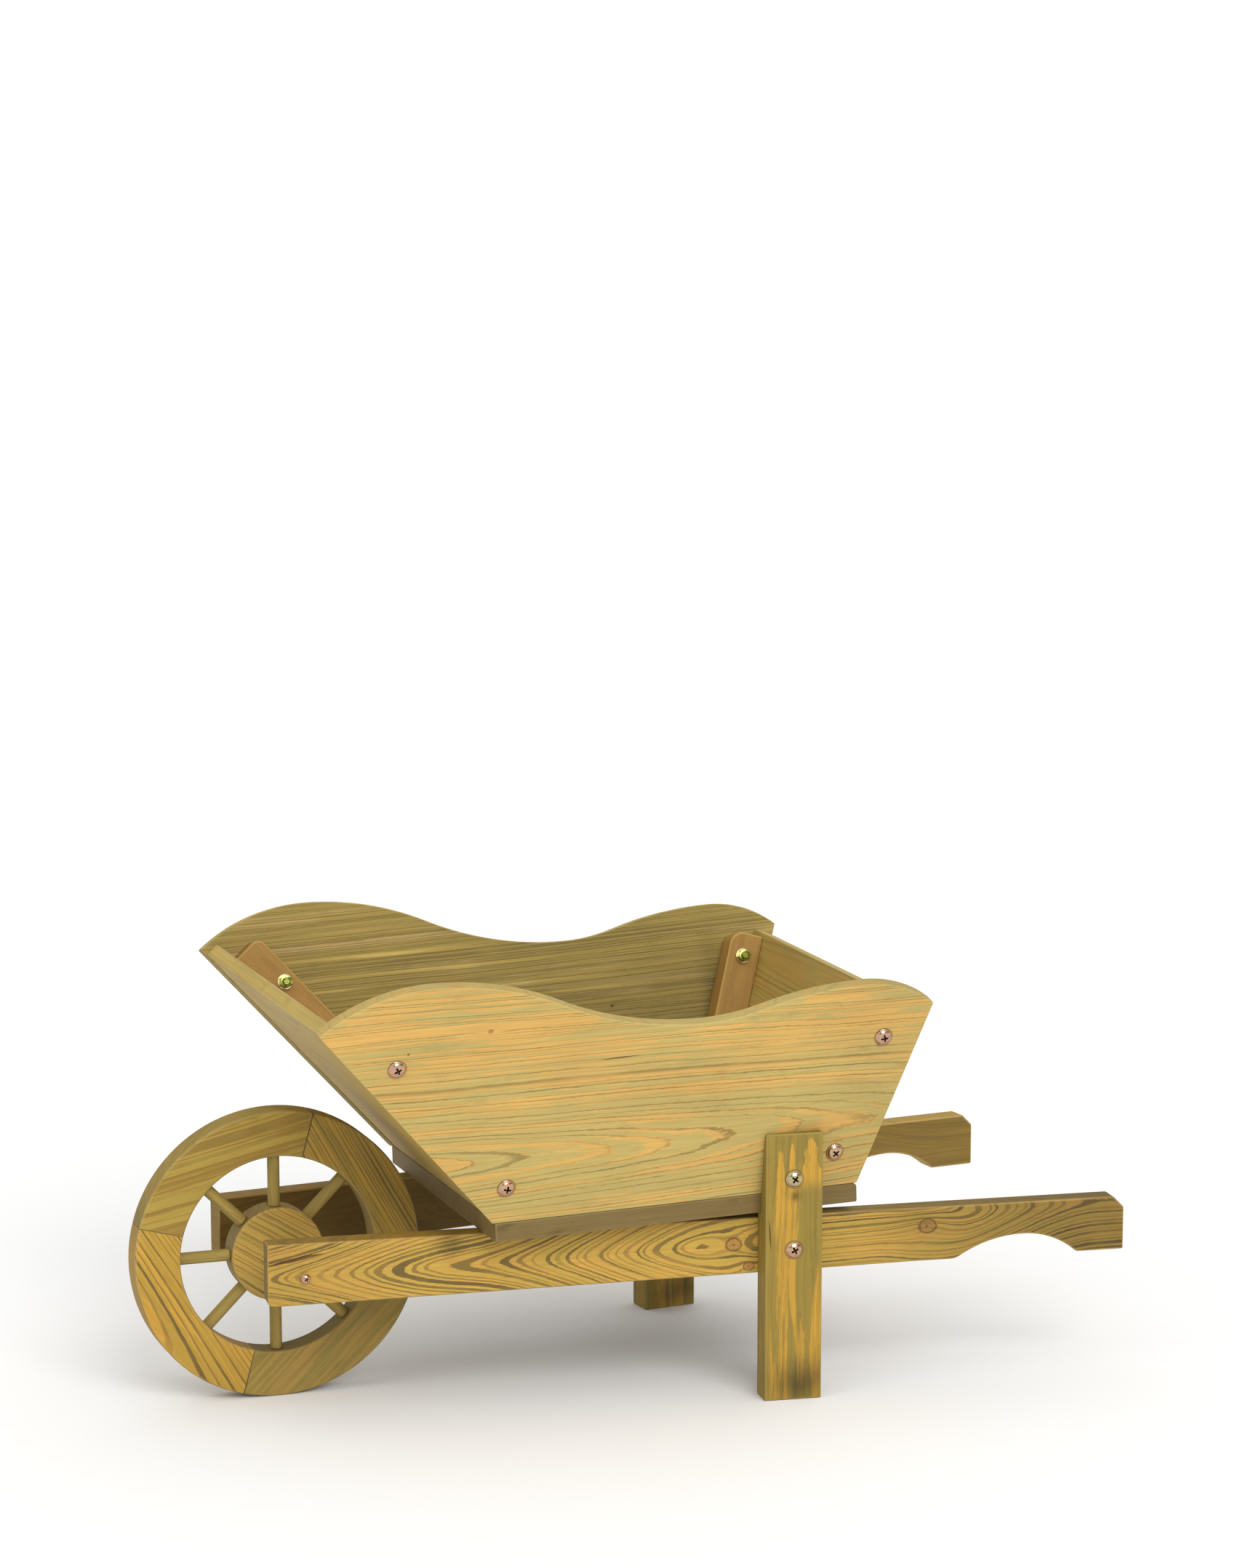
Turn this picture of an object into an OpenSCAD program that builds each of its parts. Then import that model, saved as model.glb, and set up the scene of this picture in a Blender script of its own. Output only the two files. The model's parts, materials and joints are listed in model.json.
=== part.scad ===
// Wheelbarrow planter: a flared wooden tub with waved sides, carried on two splayed
// shafts, with a spoked wheel between their front ends and two legs behind.
// +X runs from the wheel to the grips, +Y is the right-hand side, +Z is up, and the
// floor is z = 0. The origin is under the middle of the whole object.

/* [Wheel] */
// Outside diameter of the wheel
wheel_d = 240; // [200:1:280]
// Thickness of the rim and the hub
wheel_t = 25; // [18:1:40]
// Width of the rim, from its inside to its outside
rim_w = 38; // [30:1:48]
// Diameter of the hub
hub_d = 78; // [64:1:96]
// Diameter of a spoke
spoke_d = 10; // [6:0.5:13]
// Depth of a spoke's socket in the hub
spoke_in_hub = 12; // [6:0.5:15]
// Depth of a spoke's socket in the rim
spoke_in_rim = 15; // [6:0.5:22]
// Angle of the first joint in the rim, from +X towards +Z
rim_joint_angle = 75; // [58:1:77]
// Small bevel along the edges of the rim and the hub
wheel_bevel = 1.2; // [0.5:0.1:3]
// Diameter of the axle dowel
axle_d = 16; // [12:0.5:24]
// How far the axle lies below the top of the shafts
axle_drop = 29.3; // [22:0.1:36]
// Diameter of an axle screw
axle_screw_d = 4.5; // [3:0.5:6]
// Length of an axle screw under its head
axle_screw_len = 45; // [36:1:60]
// Diameter of an axle screw's head
axle_head_d = 8.5; // [7:0.5:12]
// Height of an axle screw's head
axle_head_h = 2.6; // [1.5:0.1:4]

/* [Shafts] */
// Length of a shaft
shaft_len = 721; // [640:1:820]
// Thickness of a shaft
shaft_t = 20; // [16:0.5:28]
// Depth of a shaft at its front end
shaft_front_h = 51.5; // [46:0.5:64]
// Depth of a shaft at its grip
shaft_rear_h = 45.5; // [40:0.5:56]
// Width over the two shafts at their front ends
shaft_front_spread = 183; // [140:1:220]
// How far the shafts reach in front of the axle
shaft_nose = 30.6; // [22:0.2:50]
// Radius of the rounded lower corner at the front end
shaft_toe_r = 5; // [2:0.5:12]
// Bevel of the upper corner at the grip's end
shaft_end_bevel = 9.5; // [4:0.5:16]
// Distance from the crown of the arch under the grip to the shaft's rear end
arch_from_end = 87; // [72:1:120]
// Rise of the arch under the grip
arch_rise = 18; // [10:0.5:24]
// Radius of the arch in front of its crown
arch_front_r = 105; // [80:1:140]
// Radius of the arch behind its crown
arch_rear_r = 68; // [50:1:90]
// Rounding where the arch begins
arch_front_ease = 14; // [6:0.5:20]
// Rounding where the arch ends
arch_rear_ease = 5; // [2:0.5:8]

/* [Tub] */
// Width of the floor board
floor_w = 290; // [240:1:340]
// Thickness of the floor board
floor_t = 16; // [12:0.5:22]
// How far the floor board's front edge lies behind the side boards' corner
floor_front_inset = 2.5; // [0:0.1:6]
// Rounding of the floor board's upper edge at the rear
floor_rear_r = 4; // [1:0.5:7]
// Length of the side boards along the floor board
side_base_len = 314.5; // [280:0.5:360]
// Thickness of the side boards and the end boards
board_t = 12; // [9:0.5:15]
// Outward lean of the side boards
flare = 14; // [8:0.5:20]
// Rearward rise of the whole tub
tub_tilt = 1.5; // [0:0.1:3]
// Forward lean of the front end, seen from the side
front_lean = 40.3; // [34:0.1:46]
// Rearward lean of the rear end, seen from the side
rear_lean = 19.4; // [12:0.1:26]
// Gap between the wheel and the front board's plane
wheel_gap = 15.5; // [8:0.5:40]
// How far the front board lies inside the side boards' front edges
front_inset = 2.6; // [0.5:0.1:5]
// How far the rear board lies inside the side boards' rear edges
rear_inset = 6.5; // [2:0.1:9]
// How far the front board's top lies below the side boards' front tips
front_board_drop = 4; // [1:0.5:20]
// How far the rear board's top lies below the side boards' rear tips
rear_board_drop = 6.5; // [1:0.5:20]

/* [Waved side] */
// Place of the front hump, ahead of the side board's lower front corner
front_hump_ahead = 57; // [40:1:75]
// Height of the front hump, up the board
front_hump_v = 213.3; // [196:0.1:232]
// Radius of the front hump towards the front tip
front_hump_r = 148; // [125:1:190]
// Place of the rear hump, ahead of the side board's lower rear corner
rear_hump_ahead = 6; // [-6:1:20]
// Height of the rear hump, up the board
rear_hump_v = 180.5; // [172:0.1:192]
// Radius of the rear hump towards the rear tip
rear_hump_r = 92; // [82:1:140]
// Height of the dip between the humps, up the board
dip_v = 160.2; // [146:0.1:166]
// How far the dip lies behind the middle between the humps
dip_behind = 46.2; // [20:0.1:60]
// Share of the front slope that curves with the hump
front_slope_share = 0.47; // [0.3:0.01:0.7]
// Share of the rear slope that curves with the hump
rear_slope_share = 0.635; // [0.3:0.005:0.7]

/* [Battens] */
// Width of the front battens, along the side board
front_batten_w = 22; // [16:0.5:28]
// Depth of the front battens, from the side board into the tub
front_batten_d = 20; // [14:0.5:26]
// Width of the rear battens, along the side board
rear_batten_w = 27; // [18:0.5:32]
// Depth of the rear battens, from the side board into the tub
rear_batten_d = 23; // [16:0.5:28]
// How far the front battens end below the side boards' front tips
front_batten_drop = 1.5; // [0:0.5:20]
// How far the rear battens end below the side boards' rear tips
rear_batten_drop = 7; // [0:0.5:20]
// Rounding of the front battens' upper corner inside the tub
front_batten_r = 8; // [3:0.5:12]
// Rounding of the rear battens' upper corner inside the tub
rear_batten_r = 12; // [3:0.5:14]

/* [Legs] */
// Distance from the tub's lower rear corner forward to the middle of a leg
leg_ahead = 59.9; // [54:0.1:90]
// Width of a leg
leg_w = 48; // [36:0.5:60]
// Thickness of a leg
leg_t = 26; // [24:0.5:36]
// How far a leg stands above the top of the shafts
leg_rise = 75; // [62:0.5:82]

/* [Bolts] */
// Diameter of the bolts
bolt_d = 6; // [4:0.5:7]
// Diameter of the bolts' domed heads
bolt_head_d = 14.5; // [11:0.5:18]
// Height of the bolts' domed heads
bolt_head_h = 3.6; // [2.5:0.1:6]
// Diameter of the washers
washer_d = 13; // [11.5:0.5:16]
// Thickness of the washers
washer_t = 1.2; // [0.8:0.1:2]
// Width of the nuts across their flats
nut_af = 10; // [8.5:0.5:11]
// Thickness of the nuts
nut_t = 5; // [3:0.5:7]
// How far a bolt's end stands out of its nut
bolt_end = 1.5; // [0:0.5:5]
// Height of the lower tub bolts, up the side board
low_bolt_v = 31; // [22:0.5:40]
// Height of the upper front tub bolts, up the side board
front_bolt_v = 146.7; // [120:0.1:165]
// Height of the upper rear tub bolts, up the side board
rear_bolt_v = 131.7; // [110:0.1:145]
// How far the lower leg bolts lie below the top of the shafts
leg_bolt_drop = 22.5; // [14:0.5:28]
// How far the upper leg bolts lie above the top of the shafts
leg_bolt_rise = 37; // [35:0.5:46]

/* [Screws and pins] */
// Diameter of the countersunk screws
screw_d = 4; // [3:0.5:5]
// Diameter of the countersunk heads
screw_head_d = 8; // [7:0.5:9]
// Length of the floor screws
floor_screw_len = 32; // [26:1:36]
// Length of the shaft screws
shaft_screw_len = 40; // [30:1:50]
// Distance between the two shaft screws in a shaft
shaft_screw_pitch = 42; // [24:1:60]
// Diameter of the pins
pin_d = 1.8; // [1.2:0.1:2.4]
// Diameter of a pin's head
pin_head_d = 3.2; // [2.8:0.1:4.5]
// Length of a pin
pin_len = 30; // [22:0.5:32]

/* [Fits] */
// Gap in every glued or seated joint
seat_gap = 0.05; // [0.02:0.01:0.15]
// Radial gap round the axle screws, which the wheel turns on
running_gap = 0.08; // [0.04:0.01:0.1]
// Gap between the turning axle and the faces beside it
axle_side_gap = 0.3; // [0.2:0.05:1]
// Radial gap round a bolt in wood
bolt_gap = 0.15; // [0.05:0.05:0.5]

/* [Hidden] */
$fn = 64;

far = 1500;
cut = 1;
spoke_count = 8;
felloe_count = 4;

// Wheel
wheel_r = wheel_d / 2;
rim_in_r = wheel_r - rim_w;
hub_r = hub_d / 2;
axle_r = axle_d / 2;
axle_screw_r = axle_screw_d / 2;
axle_z = wheel_r;
spoke_step = 360 / spoke_count;
felloe_step = 360 / felloe_count;
felloe_gap_angle = seat_gap / wheel_r * 180 / PI;

// The tub's lower front corner stands clear of the wheel along the leaning front
shaft_top = axle_z + axle_drop;
tub_z = shaft_top + seat_gap + floor_t * cos(tub_tilt) - floor_front_inset * sin(tub_tilt);
front_lean_world = front_lean + tub_tilt;
tub_x = (wheel_r + wheel_gap) / cos(front_lean_world) - (tub_z - axle_z) * tan(front_lean_world);
tub_rear_x = tub_x + side_base_len * cos(tub_tilt);

// The shafts' outside faces run from the front spread to the floor board's rear corners
splay = atan((floor_w - shaft_front_spread) / 2 / (tub_rear_x + shaft_nose));
shaft_face_y = shaft_front_spread / 2 + shaft_nose * tan(splay);
shaft_under = shaft_top - shaft_rear_h;
crown_s = shaft_len - arch_from_end;
crown_z = shaft_under + arch_rise;
taper_end_s = crown_s - arch_front_r + arch_front_ease;
shaft_end_x = shaft_len * cos(splay) - shaft_nose + shaft_t * sin(splay);
mid_x = (shaft_end_x - wheel_r) / 2;

// Axle: the dowel ends and the screw heads stay clear of the splayed faces
axle_half = shaft_face_y - shaft_t / cos(splay) - axle_r * tan(splay) - axle_side_gap;
axle_head_r = axle_head_d / 2;
axle_head_y = shaft_face_y + axle_head_r * tan(splay) + axle_side_gap;

// Side board's own plane: u runs to the rear, v up the board
front_edge = atan(tan(front_lean) * cos(flare));
rear_edge = atan(tan(rear_lean) * cos(flare));
front_hump_u = -front_hump_ahead;
rear_hump_u = side_base_len - rear_hump_ahead;
dip_u = (front_hump_u + rear_hump_u) / 2 + dip_behind;
wave_base_v = dip_v - board_t;
front_tip = edge_length([front_hump_u, front_hump_v - front_hump_r], front_hump_r, -front_edge);
rear_tip = edge_length([-rear_hump_ahead, rear_hump_v - rear_hump_r], rear_hump_r, rear_edge);
front_tip_v = front_tip * cos(front_edge);
rear_tip_v = rear_tip * cos(rear_edge);
inner_half_w = floor_w / 2 - board_t / cos(flare);

// End boards, measured up their own slopes
front_board_len = front_tip_v * cos(flare) / cos(front_lean) - front_board_drop;
rear_board_len = rear_tip_v * cos(flare) / cos(rear_lean) - rear_board_drop;

// Lines of the battens' middles, from the side board's slanted edges
front_batten_line = end_face_line(front_inset, front_lean, front_edge, -1) + front_batten_w / 2;
rear_batten_line = end_face_line(rear_inset, rear_lean, rear_edge, 1) + rear_batten_w / 2;

front_batten_u = front_batten_line / cos(front_edge);
rear_batten_u = side_base_len - rear_batten_line / cos(rear_edge);

// Legs
leg_at = side_base_len - leg_ahead;
leg_mid_s = (tub_x + leg_at + shaft_nose) / cos(splay);
leg_h = shaft_top + leg_rise;
leg_low_z = shaft_top - leg_bolt_drop;
leg_high_z = shaft_top + leg_bolt_rise;

// Where an upper leg bolt meets the side board, and the seat of its washer
leg_high_tub_z = (leg_high_z - tub_z) * cos(tub_tilt) - leg_at * sin(tub_tilt);
board_out_y = (shaft_front_spread / 2 + leg_mid_s * sin(splay) - floor_w / 2
               - leg_high_tub_z * tan(flare)) / cos(splay);
spot_r = washer_d / 2 + 0.5;
spot_sink = spot_r * tan(flare + splay / 2) + 0.2;
spot_y = board_out_y + board_t / cos(flare) / cos(splay) - spot_sink;

// Fasteners
bolt_r = bolt_d / 2;
bolt_hole_r = bolt_r + bolt_gap;
stack_t = washer_t + nut_t + bolt_end;
front_bolt_grip = board_t + front_batten_d + 2 * seat_gap;
rear_bolt_grip = board_t + rear_batten_d + 2 * seat_gap;
low_leg_grip = leg_t + shaft_t + seat_gap;
high_leg_grip = leg_t + spot_y;
screw_r = screw_d / 2;
screw_head_r = screw_head_d / 2;
pin_r = pin_d / 2;
pin_head_r = pin_head_d / 2;
pin_head_h = 1;

// Places of the fasteners
front_foot_y = inner_half_w - front_batten_d / 2;
rear_foot_y = inner_half_w - rear_batten_d / 2;
front_foot_u = front_batten_u - floor_screw_len / 5;
rear_foot_u = rear_batten_u + floor_screw_len / 8;
shaft_screw_u = (front_inset + board_t) / cos(front_lean) + screw_head_d + 4;
front_pin_places = [front_board_len * 0.31, front_board_len - 22];
rear_pin_places = [rear_board_len * 0.37, rear_board_len - 10];

// Distance from an edge's foot, up the edge, to the circle that ends it; lean is from +v
function edge_length(centre, r, lean) =
    let (along = centre[0] * sin(lean) + centre[1] * cos(lean))
    along + sqrt(along * along - centre * centre + r * r);

// Distance of an end board's inner face from the side board's slanted edge, along the inner face
function end_face_line(inset, lean, edge, side) =
    ((inset + board_t) / cos(lean) + side * -board_t * sin(flare) * tan(lean)) * cos(edge);

// Radii of two arcs that meet smoothly between a hump and the dip
function slope_sum(run, rise) = (run * run + rise * rise) / (2 * rise);

module in_part() translate([-mid_x, 0, 0]) children();

module in_tub() in_part() translate([tub_x, 0, tub_z]) rotate([0, -tub_tilt, 0]) children();

// X along the shaft, Y from its outside face inwards
module in_shaft() in_part() translate([-shaft_nose, -shaft_front_spread / 2, 0])
    rotate([0, 0, -splay]) children();

// X and Z in the plane of the wheel turned to local X and Y, local Z towards the left
module in_wheel() in_part() translate([0, 0, axle_z]) rotate([90, 0, 0]) children();

// X along the left side board, Y from its outside face inwards, Z up the board
module on_side_board() translate([0, -floor_w / 2, 0]) rotate([flare, 0, 0]) children();

// Z up the board's slope, X from its plane into the tub
module on_front_board() rotate([0, -front_lean, 0]) children();

// Z up the board's slope, X out of the tub
module on_rear_board() translate([side_base_len, 0, 0]) rotate([0, rear_lean, 0]) children();

module mirror_if(right) mirror([0, right ? 1 : 0, 0]) children();

module both_sides() {
    children();
    mirror([0, 1, 0]) children();
}

// Fasteners are drawn along +Z, with the seat of the head at z = 0

module bolt(grip) {
    dome_r = (bolt_head_d * bolt_head_d / 4 + bolt_head_h * bolt_head_h) / (2 * bolt_head_h);
    slot_w = bolt_head_d * 0.09;
    slot_len = bolt_head_d * 0.42;
    slot_depth = bolt_head_h * 0.55;
    difference() {
        union() {
            intersection() {
                translate([0, 0, dome_r - bolt_head_h]) sphere(r = dome_r);
                translate([0, 0, -bolt_head_h - cut]) cylinder(h = bolt_head_h + cut, r = bolt_head_d / 2);
            }
            cylinder(h = grip + stack_t, r = bolt_r);
        }
        for (turn = [0, 90]) rotate([0, 0, turn])
            translate([-slot_len / 2, -slot_w / 2, -bolt_head_h - cut])
                cube([slot_len, slot_w, slot_depth + cut]);
    }
}

module washer(grip) translate([0, 0, grip]) difference() {
    cylinder(h = washer_t, r = washer_d / 2);
    translate([0, 0, -cut]) cylinder(h = washer_t + 2 * cut, r = bolt_r + bolt_gap);
}

module nut(grip) translate([0, 0, grip + washer_t]) difference() {
    cylinder(h = nut_t, r = nut_af / 2 / cos(30), $fn = 6);
    translate([0, 0, -cut]) cylinder(h = nut_t + 2 * cut, r = bolt_r + seat_gap);
}

// A countersunk screw whose flat head ends at z = 0 and which runs along +Z
module screw(len, grow = 0) {
    head_h = screw_head_r - screw_r;
    cylinder(h = head_h, r1 = screw_head_r + grow, r2 = screw_r + grow);
    cylinder(h = len + grow, r = screw_r + grow);
}

module screw_hole(len) {
    screw(len, seat_gap);
    translate([0, 0, -cut]) cylinder(h = cut, r = screw_head_r + seat_gap);
}

module screw_recess() {
    for (turn = [0, 90]) rotate([0, 0, turn])
        translate([-screw_r, -0.4, -cut]) cube([screw_d, 0.8, cut + 1.2]);
}

module pin() {
    cylinder(h = pin_head_h, r = pin_head_r);
    cylinder(h = pin_len, r = pin_r);
}

module pin_hole() {
    translate([0, 0, -cut]) cylinder(h = cut + pin_head_h, r = pin_head_r + seat_gap);
    cylinder(h = pin_len + seat_gap, r = pin_r + seat_gap);
}

// Places of the fasteners on the left; both_sides adds the right

module at_front_bolts() in_tub() on_side_board()
    for (v = [low_bolt_v, front_bolt_v])
        translate([front_batten_u - v * tan(front_edge), 0, v]) rotate([-90, 0, 0]) children();

module at_rear_bolts() in_tub() on_side_board()
    for (v = [low_bolt_v, rear_bolt_v])
        translate([rear_batten_u + v * tan(rear_edge), 0, v]) rotate([-90, 0, 0]) children();

module at_low_leg_bolt() in_shaft() translate([leg_mid_s, -leg_t, leg_low_z])
    rotate([-90, 0, 0]) children();

module at_high_leg_bolt() in_shaft() translate([leg_mid_s, -leg_t, leg_high_z])
    rotate([-90, 0, 0]) children();

module at_floor_screws() in_tub()
    for (foot = [[front_foot_u, front_foot_y], [rear_foot_u, rear_foot_y]])
        translate([foot[0], -foot[1], -floor_t]) children();

module at_shaft_screws() in_tub()
    for (u = [shaft_screw_u, shaft_screw_u + shaft_screw_pitch])
        translate([u, shaft_screw_y(u), 0]) rotate([180, 0, 0]) children();

function shaft_screw_y(u) =
    -shaft_front_spread / 2 - (tub_x + u + shaft_nose) * tan(splay) + shaft_t / 2 / cos(splay);

module at_front_pins() in_tub() on_front_board()
    for (up = front_pin_places)
        translate([front_inset, pin_y(front_batten_d, up * cos(front_lean)), up])
            rotate([0, 90, 0]) children();

module at_rear_pins() in_tub() on_rear_board()
    for (up = rear_pin_places)
        translate([-rear_inset, pin_y(rear_batten_d, up * cos(rear_lean)), up])
            rotate([0, -90, 0]) children();

function pin_y(batten_d, z) = -(inner_half_w - batten_d / 2 / cos(flare) + z * tan(flare));

// Everything above the floor board's top face, between the side boards' inner faces
module tub_inside() {
    top = front_hump_v;
    foot_y = inner_half_w + seat_gap * tan(flare) - seat_gap;
    top_y = foot_y + (top - seat_gap) * tan(flare);
    rotate([90, 0, 90]) translate([0, 0, -far / 2]) linear_extrude(far)
        polygon([[-foot_y, seat_gap], [foot_y, seat_gap], [top_y, top], [-top_y, top]]);
}

module above_floor() translate([-far / 2, -far / 2, seat_gap]) cube([far, far, far]);

// The waved outline of a side board

module wave_part(u_from, u_to) {
    intersection() {
        children();
        translate([u_from, 0]) square([u_to - u_from, far]);
    }
}

module wave_outline() {
    front_sum = slope_sum(dip_u - front_hump_u, front_hump_v - dip_v);
    rear_sum = slope_sum(rear_hump_u - dip_u, rear_hump_v - dip_v);
    front_in_r = front_sum * front_slope_share;
    rear_in_r = rear_sum * rear_slope_share;
    front_dip_r = front_sum - front_in_r;
    rear_dip_r = rear_sum - rear_in_r;
    front_join_u = front_hump_u + (dip_u - front_hump_u) * front_slope_share;
    rear_join_u = rear_hump_u - (rear_hump_u - dip_u) * rear_slope_share;
    translate([-far / 2, -board_t]) square([far, wave_base_v + board_t]);
    translate([front_hump_u, front_hump_v - front_hump_r]) circle(r = front_hump_r, $fn = 256);
    wave_part(front_hump_u, far)
        translate([front_hump_u, front_hump_v - front_in_r]) circle(r = front_in_r, $fn = 256);
    difference() {
        translate([front_join_u, 0]) square([rear_join_u - front_join_u, front_hump_v]);
        wave_part(-far, dip_u)
            translate([dip_u, dip_v + front_dip_r]) circle(r = front_dip_r, $fn = 256);
        translate([dip_u, dip_v + rear_dip_r]) circle(r = rear_dip_r, $fn = 256);
    }
    wave_part(-far, rear_hump_u)
        translate([rear_hump_u, rear_hump_v - rear_in_r]) circle(r = rear_in_r, $fn = 256);
    translate([rear_hump_u, rear_hump_v - rear_hump_r]) circle(r = rear_hump_r, $fn = 256);
}

module side_outline() {
    top = front_hump_v + board_t;
    intersection() {
        wave_outline();
        polygon([[board_t * tan(front_edge), -board_t],
                 [side_base_len - board_t * tan(rear_edge), -board_t],
                 [side_base_len + top * tan(rear_edge), top],
                 [-top * tan(front_edge), top]]);
    }
}

module side_board(right) {
    mirror_if(right) difference() {
        in_tub() intersection() {
            on_side_board() rotate([90, 0, 0]) translate([0, 0, -board_t])
                linear_extrude(board_t) side_outline();
            above_floor();
        }
        at_front_bolts() translate([0, 0, -cut]) cylinder(h = far / 10, r = bolt_hole_r);
        at_rear_bolts() translate([0, 0, -cut]) cylinder(h = far / 10, r = bolt_hole_r);
        at_high_leg_bolt() {
            cylinder(h = far / 10, r = bolt_hole_r);
            translate([0, 0, high_leg_grip]) cylinder(h = far / 20, r = spot_r);
        }
    }
}

module front_slab(grow = 0) on_front_board()
    translate([front_inset - grow * far, -far / 2, -far / 2])
        cube([board_t + grow * (far + seat_gap), far, far / 2 + (grow > 0 ? far : front_board_len)]);

module rear_slab(grow = 0) on_rear_board()
    translate([-rear_inset - board_t - grow * seat_gap, -far / 2, -far / 2])
        cube([board_t + grow * far, far, far / 2 + (grow > 0 ? far : rear_board_len)]);

module floor_board() {
    len = side_base_len - floor_front_inset;
    color("#4b4128") difference() {
        in_tub() translate([floor_front_inset, -floor_w / 2, -floor_t]) difference() {
            cube([len, floor_w, floor_t]);
            translate([len - floor_rear_r, -cut, floor_t - floor_rear_r]) difference() {
                cube([floor_rear_r + cut, floor_w + 2 * cut, floor_rear_r + cut]);
                rotate([-90, 0, 0]) cylinder(h = floor_w + 2 * cut, r = floor_rear_r);
            }
        }
        both_sides() {
            at_floor_screws() screw_hole(floor_screw_len);
            at_shaft_screws() screw_hole(shaft_screw_len);
        }
    }
}

module side_board_left() color("#c9a45e") side_board(false);

module side_board_right() color("#a8844a") side_board(true);

module front_board() {
    color("#7c5a34") difference() {
        in_tub() intersection() {
            front_slab();
            tub_inside();
        }
        both_sides() at_front_pins() pin_hole();
    }
}

module rear_board() {
    color("#7c5a34") difference() {
        in_tub() intersection() {
            rear_slab();
            tub_inside();
        }
        both_sides() at_rear_pins() pin_hole();
    }
}

// A batten's outline up its middle line, with the inner upper corner rounded; side is -1 on
// the front battens and 1 on the rear ones
module batten_strip(w, top, corner_r, side) {
    difference() {
        translate([side < 0 ? -w : -w / 2, -far / 20]) square([w * 1.5, far / 20 + top]);
        translate([-side * (w / 2 - corner_r), top - corner_r]) difference() {
            translate([side < 0 ? 0 : -corner_r - cut, 0]) square([corner_r + cut, corner_r + cut]);
            circle(r = corner_r);
        }
    }
}

module batten(foot_u, edge, side, w, d, top_v, corner_r) {
    on_side_board() rotate([90, 0, 0]) translate([foot_u, 0, -board_t - seat_gap - d])
        rotate([0, 0, -side * edge]) linear_extrude(d)
            batten_strip(w, top_v / cos(edge), corner_r, side);
}

module batten_front(right) {
    color("#6b3f26") mirror_if(right) difference() {
        in_tub() intersection() {
            difference() {
                batten(front_batten_u, front_edge, -1, front_batten_w, front_batten_d,
                       front_tip_v - front_batten_drop, front_batten_r);
                front_slab(1);
            }
            above_floor();
        }
        at_front_bolts() cylinder(h = far / 10, r = bolt_hole_r);
        at_front_pins() pin_hole();
        at_floor_screws() screw_hole(floor_screw_len);
    }
}

module batten_rear(right) {
    color("#6b3f26") mirror_if(right) difference() {
        in_tub() intersection() {
            difference() {
                batten(rear_batten_u, rear_edge, 1, rear_batten_w, rear_batten_d,
                       rear_tip_v - rear_batten_drop, rear_batten_r);
                rear_slab(1);
            }
            above_floor();
        }
        at_rear_bolts() cylinder(h = far / 10, r = bolt_hole_r);
        at_rear_pins() pin_hole();
        at_floor_screws() screw_hole(floor_screw_len);
    }
}

module batten_front_left() batten_front(false);

module batten_front_right() batten_front(true);

module batten_rear_left() batten_rear(false);

module batten_rear_right() batten_rear(true);

// Wood between an arch's edge and a small circle that touches the edge and the underside
module arch_ease(arch_r, ease_r, side) {
    rise = shaft_under + ease_r - (crown_z - arch_r);
    run = sqrt((arch_r + ease_r) * (arch_r + ease_r) - rise * rise);
    part = ease_r / (arch_r + ease_r);
    translate([crown_s + side * run, shaft_under + ease_r]) difference() {
        translate([side < 0 ? 0 : -run * part, -ease_r - cut])
            square([run * part, ease_r + cut - rise * part]);
        circle(r = ease_r, $fn = 128);
    }
}

module shaft_outline() {
    difference() {
        polygon([[0, shaft_top - shaft_front_h], [taper_end_s, shaft_under],
                 [shaft_len, shaft_under], [shaft_len, shaft_top - shaft_end_bevel],
                 [shaft_len - shaft_end_bevel, shaft_top], [0, shaft_top]]);
        translate([shaft_toe_r, shaft_top - shaft_front_h + shaft_toe_r]) difference() {
            translate([-shaft_toe_r - cut, -shaft_toe_r - cut])
                square([shaft_toe_r + cut, shaft_toe_r + cut]);
            circle(r = shaft_toe_r, $fn = 128);
        }
        wave_part(-far, crown_s)
            translate([crown_s, crown_z - arch_front_r]) circle(r = arch_front_r, $fn = 256);
        translate([crown_s, crown_z - arch_rear_r]) circle(r = arch_rear_r, $fn = 256);
        arch_ease(arch_front_r, arch_front_ease, -1);
        arch_ease(arch_rear_r, arch_rear_ease, 1);
    }
}

module shaft(right) {
    color("#c58a3c") mirror_if(right) difference() {
        in_shaft() translate([0, shaft_t, 0]) rotate([90, 0, 0])
            linear_extrude(shaft_t) shaft_outline();
        in_wheel() cylinder(h = far, r = axle_screw_r + running_gap, center = true);
        at_low_leg_bolt() cylinder(h = far / 10, r = bolt_hole_r);
        at_shaft_screws() screw_hole(shaft_screw_len);
    }
}

module shaft_left() shaft(false);

module shaft_right() shaft(true);

module leg(right) {
    color("#b98f55") mirror_if(right) difference() {
        in_shaft() translate([leg_mid_s - leg_w / 2, -leg_t, 0])
            cube([leg_w, leg_t - seat_gap, leg_h]);
        in_tub() {
            translate([0, -floor_w / 2 - seat_gap, -floor_t - seat_gap])
                cube([side_base_len, floor_w, floor_t + 2 * seat_gap]);
            on_side_board() translate([-far / 4, -seat_gap, -floor_t / 2]) cube([far, far, far]);
        }
        at_low_leg_bolt() translate([0, 0, -cut]) cylinder(h = far / 10, r = bolt_hole_r);
        at_high_leg_bolt() translate([0, 0, -cut]) cylinder(h = far / 10, r = bolt_hole_r);
    }
}

module leg_left() leg(false);

module leg_right() leg(true);

module tub_bolts() color("#c9b8b4") both_sides() {
    at_front_bolts() bolt(front_bolt_grip);
    at_rear_bolts() bolt(rear_bolt_grip);
}

module tub_washers() color("#b9ad83") both_sides() {
    at_front_bolts() washer(front_bolt_grip);
    at_rear_bolts() washer(rear_bolt_grip);
}

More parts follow.
